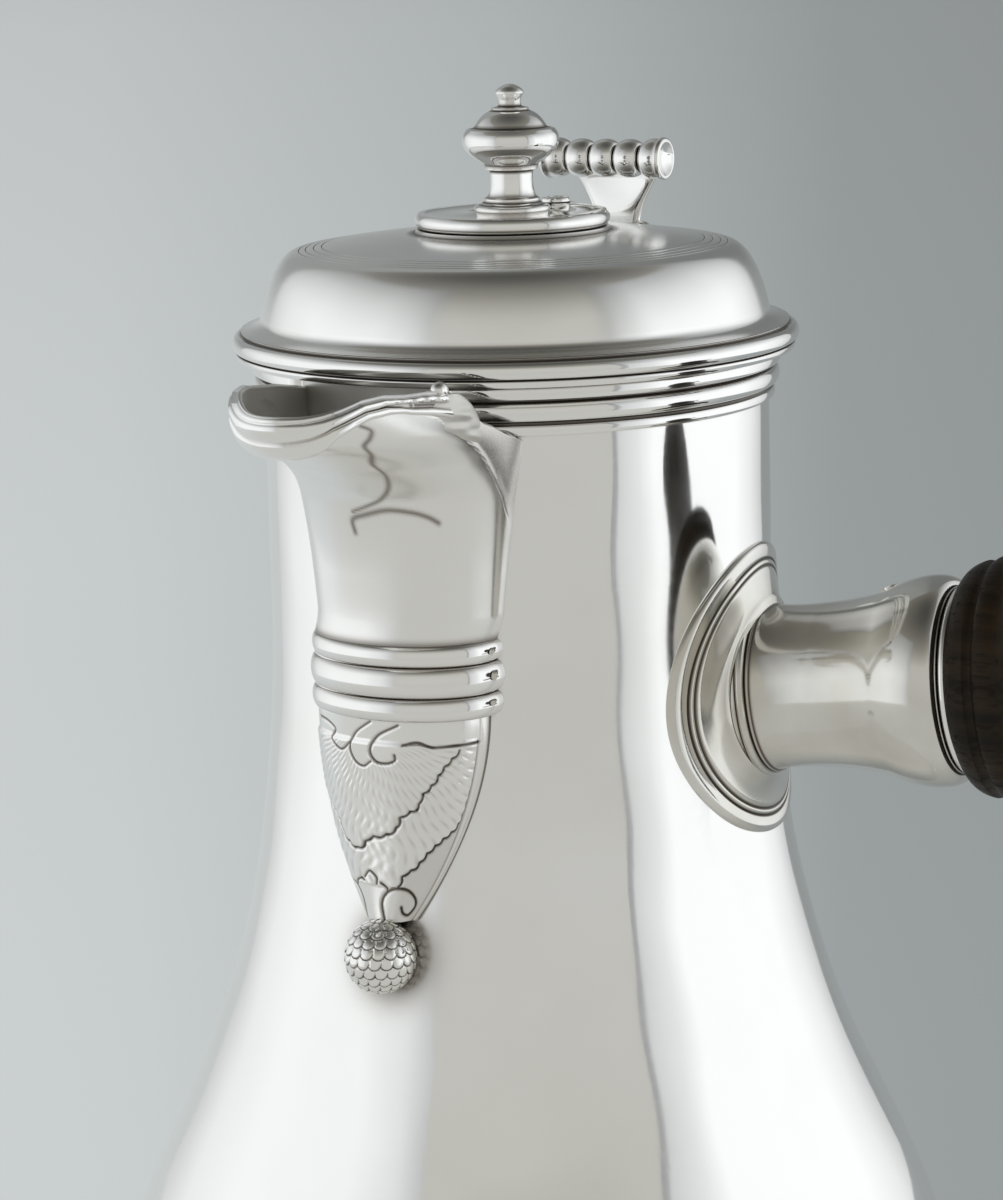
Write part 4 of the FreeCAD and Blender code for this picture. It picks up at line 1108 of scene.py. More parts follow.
@dataclass
class Spout:
    """The beak with its lip, its wires and its reeds.

    Attributes:
        levels: Height, half width, reach and fullness of the beak's sections.
        lean: How far the beak is turned to one side.
        lean_fade: Distances from the pot's axis over which the lean fades.
        lean_rise: Heights over which the lean begins.
        lip: Distance from the pot's axis and height along the lip.
        far_lip: The same along the side away from the handle, which stands higher.
        crease: Height, and place across, of the fold between the nose and the flat cheek.
        crease_rise: Heights over which the fold begins.
        stains: Width of each brown stain, and place across and height along it.
        stain_span: Width that one unit across stands for.
        reeds: Height and proudness of each reed, from the top.
        reed_floor: How far the grooves between the reeds stand out.
        reed_sink: How far the reeds' edges lie inside the beak.
        mouth_wall: Foot and top of the plain neck inside the beak.
        wire_depth: Distance from the pot's axis, and how far down the wires reach there.
        wire_split: Where the pair of wires divides.
        wire_gap: Half the gap where they part.
        stout: Distances from the axis over which the wires grow stout.
        parting: Distances from the axis over which they part.
        knobs: Place across, distance from the axis, height and size of each solder knob.
        mound: Place across, height, half width, half height and proudness of the solder.
    """

    body: PotBody
    bottom: float = 163.6
    reeds_top: float = 174.3
    top: float = 213.4
    wall: float = 1.0
    roundness: float = 0.55
    flank: float = 0.8
    sink: float = 12.0
    levels: tuple = ((163.6, 13.9, 7.7, 1.0), (174.3, 14.1, 7.7, 1.0), (184.2, 14.9, 8.3, 1.0),
                     (194.1, 16.2, 10.3, 1.0), (200.3, 17.1, 18.3, 0.92), (205.7, 17.6, 29.4, 0.82),
                     (213.4, 17.9, 34.8, 0.72))
    lean: float = math.radians(1.8)
    lean_fade: tuple = (44.0, 62.0)
    lean_rise: tuple = (172.0, 178.0)
    lowest_lip: float = 196.0
    lip: tuple = ((31.7, 201.6), (37.1, 203.7), (39.6, 204.9), (41.9, 205.8), (44.4, 207.7), (46.3, 209.2),
                  (48.9, 210.8), (52.0, 211.1), (55.4, 211.1), (58.6, 211.4), (61.7, 211.1), (64.3, 210.3),
                  (66.5, 209.7), (68.2, 209.4), (71.5, 209.2))
    far_lip: tuple = ((34.1, 208.0), (40.3, 209.1), (47.6, 210.4), (52.0, 210.9), (58.0, 211.6),
                      (63.0, 211.6), (66.5, 210.8), (69.0, 209.8), (71.5, 209.2))
    crease: tuple = ((189.8, 1.0), (192.9, 0.89), (196.4, 0.815), (199.5, 0.78), (203.1, 0.755),
                     (205.6, 0.725), (207.8, 0.685), (209.4, 0.61))
    crease_rise: tuple = (189.5, 194.0)
    crease_width: float = 0.2
    stains: tuple = ((0.42, (-0.09, 190.4), (-0.09, 192.3), (0.0, 193.2), (0.13, 194.0), (0.26, 193.7),
                      (0.35, 193.0), (0.41, 192.1)),
                     (0.27, (0.42, 208.0), (0.45, 207.2), (0.43, 206.1), (0.39, 205.1), (0.37, 203.6),
                      (0.3, 201.8), (0.28, 199.7), (0.22, 197.7), (0.12, 195.7), (0.02, 194.5),
                      (-0.08, 193.5)))
    stain_span: float = 26.0
    stain_depth: float = 0.85
    reeds: tuple = ((3.0, 0.9), (4.4, 1.2), (3.3, 1.0))
    reed_floor: float = -0.15
    reed_sink: float = 0.7
    reed_shift: float = 0.5
    mouth_wall: tuple = (198.0, 209.5)
    wire: float = 0.9
    wire_end: float = 48.9
    hidden_wire_end: float = 56.0
    wire_split: float = 0.47
    wire_gap: float = 0.11
    stout: tuple = (61.0, 68.5)
    parting: tuple = (54.0, 60.0)
    wire_depth: tuple = ((48.9, 3.6), (53.0, 3.0), (56.5, 2.4), (60.0, 2.6), (64.0, 2.7), (66.0, 3.1),
                         (67.8, 4.6), (69.5, 5.8))
    knobs: tuple = ((14.3, 48.9, 211.2, 1.2), (14.4, 47.3, 210.0, 0.8), (14.8, 45.9, 208.9, 0.8),
                    (15.1, 44.6, 207.8, 0.75), (15.4, 43.4, 206.8, 0.7))
    mound: tuple = (0.745, 207.0, 2.0, 4.3, 0.55)
    solder_top: float = 210.6

    def outline(self, height: np.ndarray, half: np.ndarray, reach: np.ndarray, fullness: np.ndarray,
                share: np.ndarray) -> np.ndarray:
        """Points on the outside of a spout section.

        Args:
            height: Height of each point's section.
            half: Half width of the section.
            reach: How far it stands out from the body.
            fullness: How square it is.
            share: Place across it, -1 and 1 at the body and more inside it.

        Returns:
            The points.
        """
        radius = self.body.radius(height)
        start = np.sqrt(radius**2 - half**2) + self.flank
        nose = radius + reach
        turn = np.clip(1 - np.abs(share), 0, 1)
        back = 1 - turn
        weights = back**3, 3 * turn * back**2, 3 * turn**2 * back, turn**3
        across = half * (weights[0] + weights[1] * fullness
                         + weights[2] * self.roundness * np.sqrt(fullness))
        out = (start * weights[0] + (start + self.roundness * (nose - start)) * weights[1]
               + nose * (weights[2] + weights[3]))
        out = out - np.clip(np.abs(share) - 1, 0, None) * self.sink
        return stacked(np.sign(share) * across, -out, height)

    def beak_at(self, height: np.ndarray, share: np.ndarray) -> np.ndarray:
        """Points on the outside of the beak at heights and places across it.

        Args:
            height: Height of each point.
            share: Place across the beak.

        Returns:
            The points.
        """
        height, share = np.broadcast_arrays(height, share)
        half, reach, fullness = eased(self.levels, height.ravel()).T.reshape(3, *height.shape)
        points = self.outline(height, half, reach, fullness, share)
        turn = self.lean * (1 - ramped(-points[..., 1], *self.lean_fade)) * ramped(height, *self.lean_rise)
        across, out = points[..., 0], -points[..., 1] - 0.5 * ramped(np.abs(share), 0.3, 1.0)
        return stacked(across * np.cos(turn) + out * np.sin(turn),
                       across * np.sin(turn) - out * np.cos(turn), height)

    def columns(self, share: np.ndarray, count: int = 240) -> tuple[np.ndarray, np.ndarray]:
        """Lines down the beak's outside from its lip.

        Args:
            share: Place across the beak of each line.
            count: Points per line.

        Returns:
            The points by row and column, and each point's distance from the lip.
        """
        low, high = np.full(share.shape, self.lowest_lip), np.full(share.shape, self.top)
        for _ in range(BISECTIONS):
            middle = (low + high) / 2
            out = -self.beak_at(middle, share)[:, 1]
            near, far = (np.interp(out, *np.array(line).T) for line in (self.lip, self.far_lip))
            edge = near + (far - near) * ramped(-share, 0.0, 0.4)
            low, high = np.where(middle < edge, middle, low), np.where(middle < edge, high, middle)
        height = low + (self.bottom - low) * np.linspace(0, 1, count)[:, None]
        points = self.beak_at(height, share[None])
        steps = np.linalg.norm(np.diff(points, axis=0), axis=2)
        return points, np.concatenate((np.zeros((1, len(share))), np.cumsum(steps, 0)))

    @staticmethod
    def down(points: np.ndarray, length: np.ndarray, depth: np.ndarray) -> np.ndarray:
        """Points at set distances down each line.

        Args:
            points: The lines' own points.
            length: Their distances from the lip.
            depth: The distances wanted.

        Returns:
            The new points.
        """
        made = np.empty((*depth.shape, 3))
        for column, (wanted, known) in enumerate(zip(depth.T, length.T)):
            for axis in range(3):
                made[:, column, axis] = np.interp(wanted, known, points[:, column, axis])
        return made

    def beak(self, maker: Maker) -> None:
        """Makes the open beak, with the fold beside its flat cheeks.

        Args:
            maker: Adds the pieces.
        """
        share = np.concatenate(([-1.1, -1.04], np.linspace(-1, 1, 201), [1.04, 1.1]))
        points, length = self.columns(share)
        outer = self.down(points, length, (np.linspace(0, 1, 190) ** 1.25)[:, None] * length[-1])
        normal = outward(outer, outer * (0, 0, 1) + np.array((0, -self.body.neck_radius, 0)))
        height = outer[..., 2]
        scale = np.linalg.norm(np.gradient(outer, share, axis=1), axis=2)
        gap = (np.abs(share) - np.interp(height, *np.array(self.crease).T)) * scale
        high = ramped(height, *self.crease_rise)
        seam = bell(gap, self.crease_width) * high
        outer = outer - normal * (0.16 * ramped(gap, -0.6, 2.8) * high + 0.05 * seam)[..., None]
        inner = outer - normal * self.wall
        edge = (outer[:1] + inner[:1]) / 2 + np.array((0, 0, 0.3))
        place = stacked(share * self.stain_span, height)
        # Painted shade along the fold and where the reeds meet the beak; the cheek beyond the fold is
        # darker, and the brown stains are tarnish.
        dark = np.maximum(seam * 0.6, 0.75 * bell(height - self.reeds_top, 0.7))
        dark = np.maximum(dark, 0.3 * ramped(gap, -0.1, 0.4) * high)
        for width, *stain in self.stains:
            far = line_distance(place, flowing(stain) * (self.stain_span, 1.0))
            dark = np.maximum(dark, self.stain_depth * bell(far, width))
        maker.grid("beak", np.concatenate((edge, outer)), Rides.POT, ("spout_beak",), finish=maker.satin,
                   tarnish_and_shade=np.concatenate((dark[:1], dark)))
        maker.grid("beak_inside", np.concatenate((edge, inner)), Rides.POT, finish=maker.dull)
        turn = np.radians(np.linspace(*self.body.mouth_angles, 60))[None]
        level = np.linspace(*self.mouth_wall, 12)[:, None]
        wall = self.body.neck_radius + 0.3
        maker.grid("mouth_wall", stacked(wall * np.sin(turn), -wall * np.cos(turn), level), Rides.POT,
                   finish=maker.dull)

    def lip_wires(self, maker: Maker) -> None:
        """Makes the pair of wires round the lip, stout at the nose and parted towards the body.

        Args:
            maker: Adds the pieces.
        """
        share = np.linspace(-1, 1, 400)
        points, length = self.columns(share)
        ends = np.where(share < 0, self.hidden_wire_end, self.wire_end)
        share = np.linspace(*share[np.flatnonzero(-points[0, :, 1] > ends)[[0, -1]]], 260)
        points, length = self.columns(share)
        reach = -points[0, :, 1]
        across = np.linspace(0, 1, 64)[:, None]
        skin = self.down(points, length, across * np.interp(reach, *np.array(self.wire_depth).T))
        normal = outward(skin, skin * (0, 0, 1) + np.array((0, -self.body.neck_radius, -4.0)))
        stout = ramped(reach, *self.stout)
        parted = 1 - ramped(reach, *self.parting)
        upper = self.half_round(across / (self.wire_split - self.wire_gap * parted))
        start = self.wire_split + self.wire_gap * parted
        lower = self.half_round((across - start) / (1 - start))
        beading = 0.12 * np.sin(reach * 3.4) * parted * upper
        fading = ramped(share, share[0], share[0] + 0.12)
        proud = (stout * (0.3 + 0.85 * across) + (upper + lower) * self.wire + beading) * fading - 0.05
        face = skin + normal * proud[..., None]
        over = skin[:1] - normal[:1] * 0.9 + np.array((0, 0, 0.1))
        crest = skin[:1] + normal[:1] * (0.25 + 0.5 * stout[..., None]) + np.array((0, 0, 0.42))
        under = skin[-1:] - normal[-1:] * 0.5
        # Painted shade in the slit between the two wires, deepest where they part.
        slit = bell(across - self.wire_split, 0.05 + 0.07 * parted) * (0.35 + 0.6 * parted)
        dark = np.concatenate((slit[:2] * 0, slit, slit[:1] * 0))
        maker.grid("lip_wires", np.concatenate((over, crest, face, under)), Rides.POT, ("spout_lip_wire",),
                   tarnish_and_shade=dark)

    @staticmethod
    def half_round(share: np.ndarray) -> np.ndarray:
        """Height of a rounded wire from 0 to 1 across its width."""
        return np.sqrt(np.clip(1 - np.abs(2 * share - 1) ** 3, 0, 1))

    def lip_solder(self, maker: Maker) -> None:
        """Makes the rough mound of solder where the wires end on the cheek, with its knobs.

        Args:
            maker: Adds the pieces.
        """
        middle, level, wide, tall, proud = self.mound
        polar, turn = np.linspace(0, 1, 40)[:, None], circle(90)[None]
        height = level + tall * polar * np.sin(turn)
        share = middle + wide / self.stain_span * polar * np.cos(turn) - (height - level) * 0.006
        skin = self.beak_at(np.minimum(height, self.solder_top), share)
        rough = 1 + 0.16 * np.sin(height * 2.1 + share * 40) + 0.1 * np.sin(height * 3.7)
        swell = proud * (1 - polar**2) ** 0.6 * rough
        away = np.array((1.0, -0.25, 0.0))
        maker.grid("lip_solder", skin + away * (swell - 0.35)[..., None], Rides.POT, around=True,
                   finish=maker.dull)
        knobs = [ball((across, -out, rise), (size, size * 1.2, size))
                 for across, out, rise, size in self.knobs]
        maker.lumps("lip_knobs", knobs, Rides.POT)

    def reed_band(self, maker: Maker) -> None:
        """Makes the three reeds round the foot of the beak.

        Args:
            maker: Adds the pieces.
        """
        turns = np.linspace(0, math.pi, 26)
        foot = self.reeds_top
        # The third value of each row is painted shade, deepest in the grooves between the reeds and at the
        # band's edges.
        rows = [(foot, -self.reed_sink, 1.0)]
        for tall, proud in self.reeds:
            rise = self.reed_floor + (proud - self.reed_floor) * np.sin(turns) ** 0.8
            rows.extend(zip(foot - tall * (1 - np.cos(turns)) / 2, rise, (1 - np.sin(turns)) ** 1.7))
            foot -= tall
        rows.append((foot, -self.reed_sink, 1.0))
        height, grow, dark = np.array(rows).T[..., None]
        _, half, reach, full = self.levels[0]
        share = np.linspace(-1.08, 1.08, 141)[None]
        grid = self.outline(height, half - 0.2 + grow, reach + grow, full, share) + (self.reed_shift, 0, 0)
        maker.grid("reeds", grid, Rides.POT, ("spout_reed_band",), tarnish_and_shade=dark.repeat(grid.shape[1], 1))

    def build(self, maker: Maker) -> None:
        """Makes the whole spout.

        Args:
            maker: Adds the pieces.
        """
        self.beak(maker)
        self.lip_wires(maker)
        self.lip_solder(maker)
        self.reed_band(maker)


@dataclass
class Ornament:
    """The chased drop under the reeds and the berry at its foot.

    Attributes:
        upper_leaf: Edge of the upper leaf: share across from the nose, and drop from the top.
        lower_leaf: Edge of the leaf below it.
        hidden_leaf: Its edge on the side away from the handle.
        half: Half width of the drop at its top and foot.
        reach: How far it stands out there.
        fan: The point that the leaves' rays spread from.
        scallop: Pitch and depth of the bulges along a leaf's edge.
        lines: Cut lines, each by its width and its points.
    """

    spout: Spout
    height: float = 29.6
    half: tuple = (13.3, 3.8)
    reach: tuple = (7.1, 3.8)
    fan: tuple = (-0.05, 1.0)
    rays: int = 78
    border: float = 0.87
    edge_line: float = 0.95
    leaf_cut: float = 0.24
    upper_leaf: tuple = ((0.66, 4.4), (0.52, 6.8), (0.45, 8.9), (0.36, 10.7), (0.32, 12.6), (0.19, 14.0),
                         (0.15, 15.7), (0.05, 16.8), (-0.11, 17.5), (-0.25, 19.2), (-0.42, 18.1),
                         (-0.48, 15.7), (-0.62, 13.3), (-0.8, 11.0))
    lower_leaf: tuple = ((0.88, 4.2), (0.87, 8.0), (0.85, 12.0), (0.82, 15.5), (0.66, 17.4), (0.53, 19.1),
                         (0.41, 21.4), (0.28, 22.6), (0.24, 24.5))
    hidden_leaf: tuple = ((-0.6, 24.5), (-0.64, 22.6), (-0.75, 21.0), (-0.88, 19.0))
    scallop: tuple = (1.7, 0.3)
    lines: tuple = ((0.34, (-0.65, 1.4), (-0.48, 1.5), (-0.37, 2.4), (-0.41, 3.9), (-0.3, 5.1), (-0.2, 3.7)),
                    (0.34, (-0.03, 0.4), (-0.16, 2.4), (-0.21, 4.6), (-0.17, 6.4), (-0.1, 7.0),
                     (-0.04, 6.2)),
                    (0.44, (0.17, 0.7), (0.02, 2.4), (-0.04, 4.6), (0.0, 6.1), (0.08, 6.3), (0.14, 5.8),
                     (0.14, 5.0)),
                    (0.4, (0.2, 3.5), (0.31, 3.1), (0.43, 3.7), (0.62, 3.6), (0.88, 3.6)),
                    (0.5, (0.08, 29.6), (0.01, 27.1), (0.09, 25.3), (0.26, 24.6), (0.45, 25.1), (0.68, 27.1),
                     (0.63, 28.6), (0.46, 28.3), (0.38, 27.4)),
                    (0.5, (-0.72, 24.4), (-0.51, 24.9), (-0.42, 27.0), (-0.5, 29.6)),
                    (0.36, (-0.49, 25.1), (-0.42, 24.2), (-0.31, 23.7), (-0.26, 23.9)),
                    (0.36, (-0.24, 23.4), (-0.15, 22.4), (-0.06, 23.2), (-0.06, 24.2)),
                    (0.36, (0.0, 23.9), (0.09, 24.7), (0.08, 25.6)))
    scale_pitch: float = 0.34

    def drop(self, maker: Maker) -> None:
        """Makes the drop with its leaves, scrolls and border.

        Args:
            maker: Adds the pieces.
        """
        fall = np.linspace(0, 1, 280)[:, None]
        level = self.spout.bottom - fall * self.height
        half = self.half[0] + (self.half[1] - self.half[0]) * fall**2
        reach = self.reach[0] + (self.reach[1] - self.reach[0]) * fall
        share = np.concatenate(([-1.1, -1.03], np.linspace(-1, 1, 281), [1.03, 1.1]))[None]
        face = self.spout.outline(level, half, reach, 1.0, share)
        normal = outward(face, face * (0, 0, 1) + np.array((0, -self.spout.body.neck_radius, 0)))
        span = np.linalg.norm(np.diff(face, axis=1), axis=2).sum(1, keepdims=True) / 2
        place = stacked(np.clip(share, -1, 1) * span, fall * self.height)
        relief, dark = self.relief(place, span)
        # Painted shade where the drop's sides turn into the body.
        dark = np.maximum(dark, 0.8 * (np.abs(share) > 1.01))
        face = face + normal * relief[..., None]
        cap = face[[0, -1]] * (0.9, 1, 1)
        cap[..., 1] = -self.spout.body.radius(cap[..., 2]) + 1.5
        cap[1, :, 2] -= 0.8
        grid = np.concatenate((cap[:1], face, cap[1:]))
        dark = np.concatenate((dark[:1], dark, dark[-1:]))
        maker.grid("chased_drop", grid, Rides.POT, ("spout_shield",), finish=maker.chased, tarnish_and_shade=dark)

    def scalloped(self, line: np.ndarray) -> np.ndarray:
        """A line broken into small bulges, as a leaf's edge is.

        Args:
            line: The leaf's edge.

        Returns:
            The line's new points.
        """
        pitch, depth = self.scallop
        run = np.concatenate(([0], np.cumsum(np.linalg.norm(np.diff(line, axis=0), axis=1))))
        places = np.arange(0, run[-1], 0.22)
        even = stacked(*(np.interp(places, run, values) for values in line.T))
        along = np.gradient(even, axis=0)
        along /= np.linalg.norm(along, axis=1, keepdims=True)
        bulge = depth * np.abs(np.sin(math.pi * places / pitch))
        return even + stacked(along[:, 1], -along[:, 0]) * bulge[:, None]

    def relief(self, place: np.ndarray, span: np.ndarray) -> tuple[np.ndarray, np.ndarray]:
        """Depth of the chasing.

        Args:
            place: Distance across from the nose and drop from the top, per point.
            span: Width of each row from the nose to the edge.

        Returns:
            The height of the relief and the depth of tarnish and painted shade, per point.
        """
        def laid(points: Sequence[tuple]) -> np.ndarray:
            """A drawn line at its true width."""
            line = flowing(points)
            return stacked(line[:, 0] * np.interp(line[:, 1], place[:, 0, 1], span[:, 0]), line[:, 1])

        def within(line: np.ndarray) -> np.ndarray:
            """How far each point lies above a leaf's edge."""
            order = np.argsort(line[:, 0])
            return ramped(np.interp(across, line[order, 0], line[order, 1]) - drop, -0.1, 0.25)

        across, drop = place[..., 0], place[..., 1]
        share = across / span
        drawn = self.upper_leaf, self.lower_leaf, self.hidden_leaf
        leaves = [self.scalloped(laid(leaf)) for leaf in drawn]
        field = (1 - ramped(np.abs(share), self.border - 0.03, self.border)) * ramped(drop, 3.0, 3.8)
        border = ramped(np.abs(share), self.border, self.border + 0.03)
        upper = within(leaves[0]) * field
        lower = within(np.concatenate(leaves[1:])) * field
        centre = laid((self.fan, self.fan))[0]
        turn = np.arctan2(drop - centre[1], across - centre[0])
        far = np.hypot(across - centre[0], drop - centre[1])
        rays = np.sin(turn * self.rays + np.sin(far * 1.1)) * ramped(far, 4.0, 7.0)
        rays = rays * np.maximum(upper, lower) * (0.6 + 0.4 * np.sin(far * 2.3 + turn * 19))
        ground = (1 - lower) * field * ramped(share, 0.2, 0.35) * ramped(drop, 14.0, 16.0)
        stipple = np.sin(across * 19) * np.sin(drop * 19) * ground
        cut = np.zeros(across.shape)
        for width, *points in self.lines:
            cut = np.maximum(cut, bell(line_distance(place, laid(points)), width * 0.5))
        for leaf in leaves:
            cut = np.maximum(cut, bell(line_distance(place, leaf), self.leaf_cut) * field)
        rim = bell((np.abs(share) - self.border) * span, 0.16) * ramped(drop, 3.0, 4.0)
        edge = bell((np.abs(share) - self.edge_line) * span, 0.12) * ramped(drop, 12, 16)
        rim = np.maximum(rim, 0.7 * edge)
        raised = 0.2 * border + 0.16 * upper + 0.1 * lower + 0.03 * rays + 0.03 * stipple
        relief = raised - 0.2 * cut - 0.1 * rim
        # Tarnish and painted shade in the cut lines, along the border, in the troughs between rays and on
        # the matted ground.
        dark = 0.95 * cut + 0.6 * rim + 0.22 * np.clip(-rays, 0, 1) + 0.35 * ground * (0.55 - 0.5 * stipple)
        return relief, np.clip(dark, 0, 1)

    def berry(self, maker: Maker) -> None:
        """Makes the berry with its rows of scales, each lapping over those below.

        Args:
            maker: Adds the pieces.
        """
        unit = ball((0, 0, 0), (1, 1, 1), 150, 230)
        centres = []
        for row, polar in enumerate(np.arange(0.1, math.pi, self.scale_pitch * 0.8)):
            count = max(1, round(2 * math.pi * math.sin(polar) / self.scale_pitch))
            around = (np.arange(count) + row % 2 / 2) * 2 * math.pi / count
            centres.extend(zip(np.sin(polar) * np.cos(around), np.sin(polar) * np.sin(around),
                               np.full(count, math.cos(polar))))
        centres = np.array(centres)
        size = self.scale_pitch * 0.64
        apart = np.arccos(np.clip(unit.reshape(-1, 3) @ centres.T, -1, 1))
        upmost = np.where(apart < size, centres[:, 2], -apart - 2).argmax(1)
        apart = np.take_along_axis(apart, upmost[:, None], 1).reshape(unit.shape[:2]) / size
        lean = (centres[upmost, 2].reshape(unit.shape[:2]) - unit[..., 2]) / size
        bump = 0.22 * np.clip(1 - apart**4, 0, 1) + 0.16 * np.clip(lean, -1, 1)
        # Painted shadow on each scale just under the rim of the scale above, and painted shade in the gaps
        # between scales.
        dark = np.maximum(ramped(apart, 0.7, 0.92) * ramped(lean, -0.2, 0.4), ramped(apart, 0.97, 1.1))
        level, proud, radius = self.spout.body.berry
        out = self.spout.body.radius(np.array(level)) + proud
        points = unit * (radius - 0.05 + bump)[..., None] * (1, 1, 1.04)
        maker.grid("berry", points + np.array((0, -out, level)), Rides.POT, ("spout_berry",), around=True,
                   finish=maker.chased, tarnish_and_shade=dark)

    def build(self, maker: Maker) -> None:
        """Makes the drop and its berry."""
        self.drop(maker)
        self.berry(maker)


@dataclass
class Handle:
    """The side handle: plate on the body, socket, ring and turned wooden grip.

    Attributes:
        tilt: How far the handle rises, in degrees.
        swing: How far it stands behind the right side, in degrees.
        foot: Where the socket begins, along the handle's axis.
        end: Where the socket ends.
        grip: Where the wood begins.
        plate: Radius, and height above the body, of the plate's rings.
        search: Where along its axis the plate's rings may lie.
    """

    body: PotBody
    tilt: float = 6.0
    swing: float = 4.0
    height: float = 157.16
    foot: float = 37.5
    end: float = 69.5
    grip: float = 70.7
    length: float = 114.0
    plate: tuple = ((21.3, -0.5), (21.3, 0.3), (21.15, 0.62), (20.8, 0.8), (20.3, 0.86), (19.2, 0.88),
                    (19.0, 0.8), (18.85, 0.62), (18.7, 0.8), (18.5, 0.95), (18.2, 1.0), (18.0, 0.9),
                    (17.85, 0.7), (17.7, 0.9), (17.45, 1.05), (17.0, 1.1), (16.0, 1.2), (15.0, 1.38),
                    (14.2, 1.62), (13.6, 1.92), (13.1, 2.3), (11.0, 2.4))
    plate_segments: int = 220
    search: tuple = (15.0, 65.0)
    bore: float = 9.6
    bore_depth: float = 20.0
    tenon: float = 9.4

    def place(self) -> Matrix:
        """Where the handle's axis stands, its local Z running outwards."""
        return (Matrix.Translation((0, 0, self.height)) @ Matrix.Rotation(math.radians(self.swing), 4, "Z")
                @ Matrix.Rotation(math.radians(90 - self.tilt), 4, "Y"))

    def saddle(self) -> np.ndarray:
        """Rings of the plate round the handle's axis, laid on the body.

        Returns:
            The points by ring.
        """
        radius, rise = (np.array(values)[:, None] for values in zip(*self.plate))
        angle = circle(self.plate_segments)[None]
        turn = np.array(self.place())
        low, high = (np.full((len(radius), self.plate_segments), end) for end in self.search)
        local = stacked(radius * np.cos(angle), radius * np.sin(angle), low)
        for _ in range(BISECTIONS):
            local[..., 2] = (low + high) / 2
            points = local @ turn[:3, :3].T + turn[:3, 3]
            inside = np.hypot(points[..., 0], points[..., 1]) < self.body.radius(points[..., 2]) + rise
            low, high = np.where(inside, local[..., 2], low), np.where(inside, high, local[..., 2])
        return points

    def build(self, maker: Maker) -> None:
        """Makes the handle's pieces.

        Args:
            maker: Adds the pieces.
        """
        # The plate's hollow rings get tarnish and painted shade.
        dark = hollowness(np.array(self.plate), False, 0.25)[:, None].repeat(self.plate_segments, 1)
        maker.grid("handle_plate", self.saddle(), Rides.POT, ("handle_escutcheon",), around=True,
                   finish=maker.worn, tarnish_and_shade=dark)
        foot, end = self.foot, self.end
        made = Outline(0.0, foot - 9.0)
        made.to((12.9, foot - 9.0), (12.9, foot + 1.6)).bead(0.3, (12.8, foot + 2.7)).to((12.4, foot + 2.85))
        made.bead(0.14, (12.3, foot + 3.5))
        made.curve((11.8, foot + 4.4), (11.75, foot + 8.5), (12.05, foot + 12.0))
        made.curve((12.3, foot + 16.0), (13.0, foot + 19.4), (13.85, foot + 21.8))
        made.curve((14.8, foot + 24.2), (15.3, foot + 26.4), (15.3, foot + 28.4))
        made.curve((15.3, foot + 30.6), (14.6, end - 0.15), (13.3, end - 0.1))
        made.to((self.bore, end), (self.bore, end - self.bore_depth), (0.0, end - self.bore_depth))
        maker.turned("handle_ferrule", made, Rides.POT, ("handle_socket",), soft=0.12, place=self.place(),
                     finish=maker.worn)
        ring = Outline(self.bore, end)
        ring.to((13.2, end)).bead(0.42, (13.2, self.grip)).to((self.bore, self.grip))
        maker.turned("ferrule_wire", ring, Rides.POT, ("socket_rim_wire",), closed=True, soft=0.1,
                     place=self.place())
        self.wood(maker)

    def wood(self, maker: Maker) -> None:
        """Makes the grip.

        Args:
            maker: Adds the pieces.
        """
        start, length = self.grip, self.length
        collar = start + 8.0
        waist, swell, knob = (start + length * share for share in (0.29, 0.69, 0.95))
        turn = (2 * collar + waist) / 3
        made = Outline(0.0, self.end - self.bore_depth)
        made.to((self.tenon, self.end - self.bore_depth), (self.tenon, start + 0.02), (13.9, start + 0.02))
        made.curve((15.6, start + 0.3), (16.6, start + 1.6), (17.0, start + 3.4))
        made.curve((16.5, start + 3.8), (16.6, start + 4.6)).curve((17.6, start + 5.0), (17.6, start + 6.6))
        made.curve((17.6, collar + 0.4), (16.2, collar + 1.4), (14.9, collar + 1.7)).to((14.3, collar + 2.0))
        made.curve((14.2, turn), (10.6, turn), (10.6, waist))
        turns = (10.6, waist), (15.2, swell), (7.0, knob)
        for (back, here), (ahead, there) in zip(turns, turns[1:]):
            made.curve((back, (here + there) / 2), (ahead, (here + there) / 2), (ahead, there))
        made.curve((7.0, start + length), (0.0, start + length))
        maker.turned("wooden_grip", made, Rides.POT, ("handle_grip",), soft=0.25, place=self.place(),
                     finish=maker.wood)


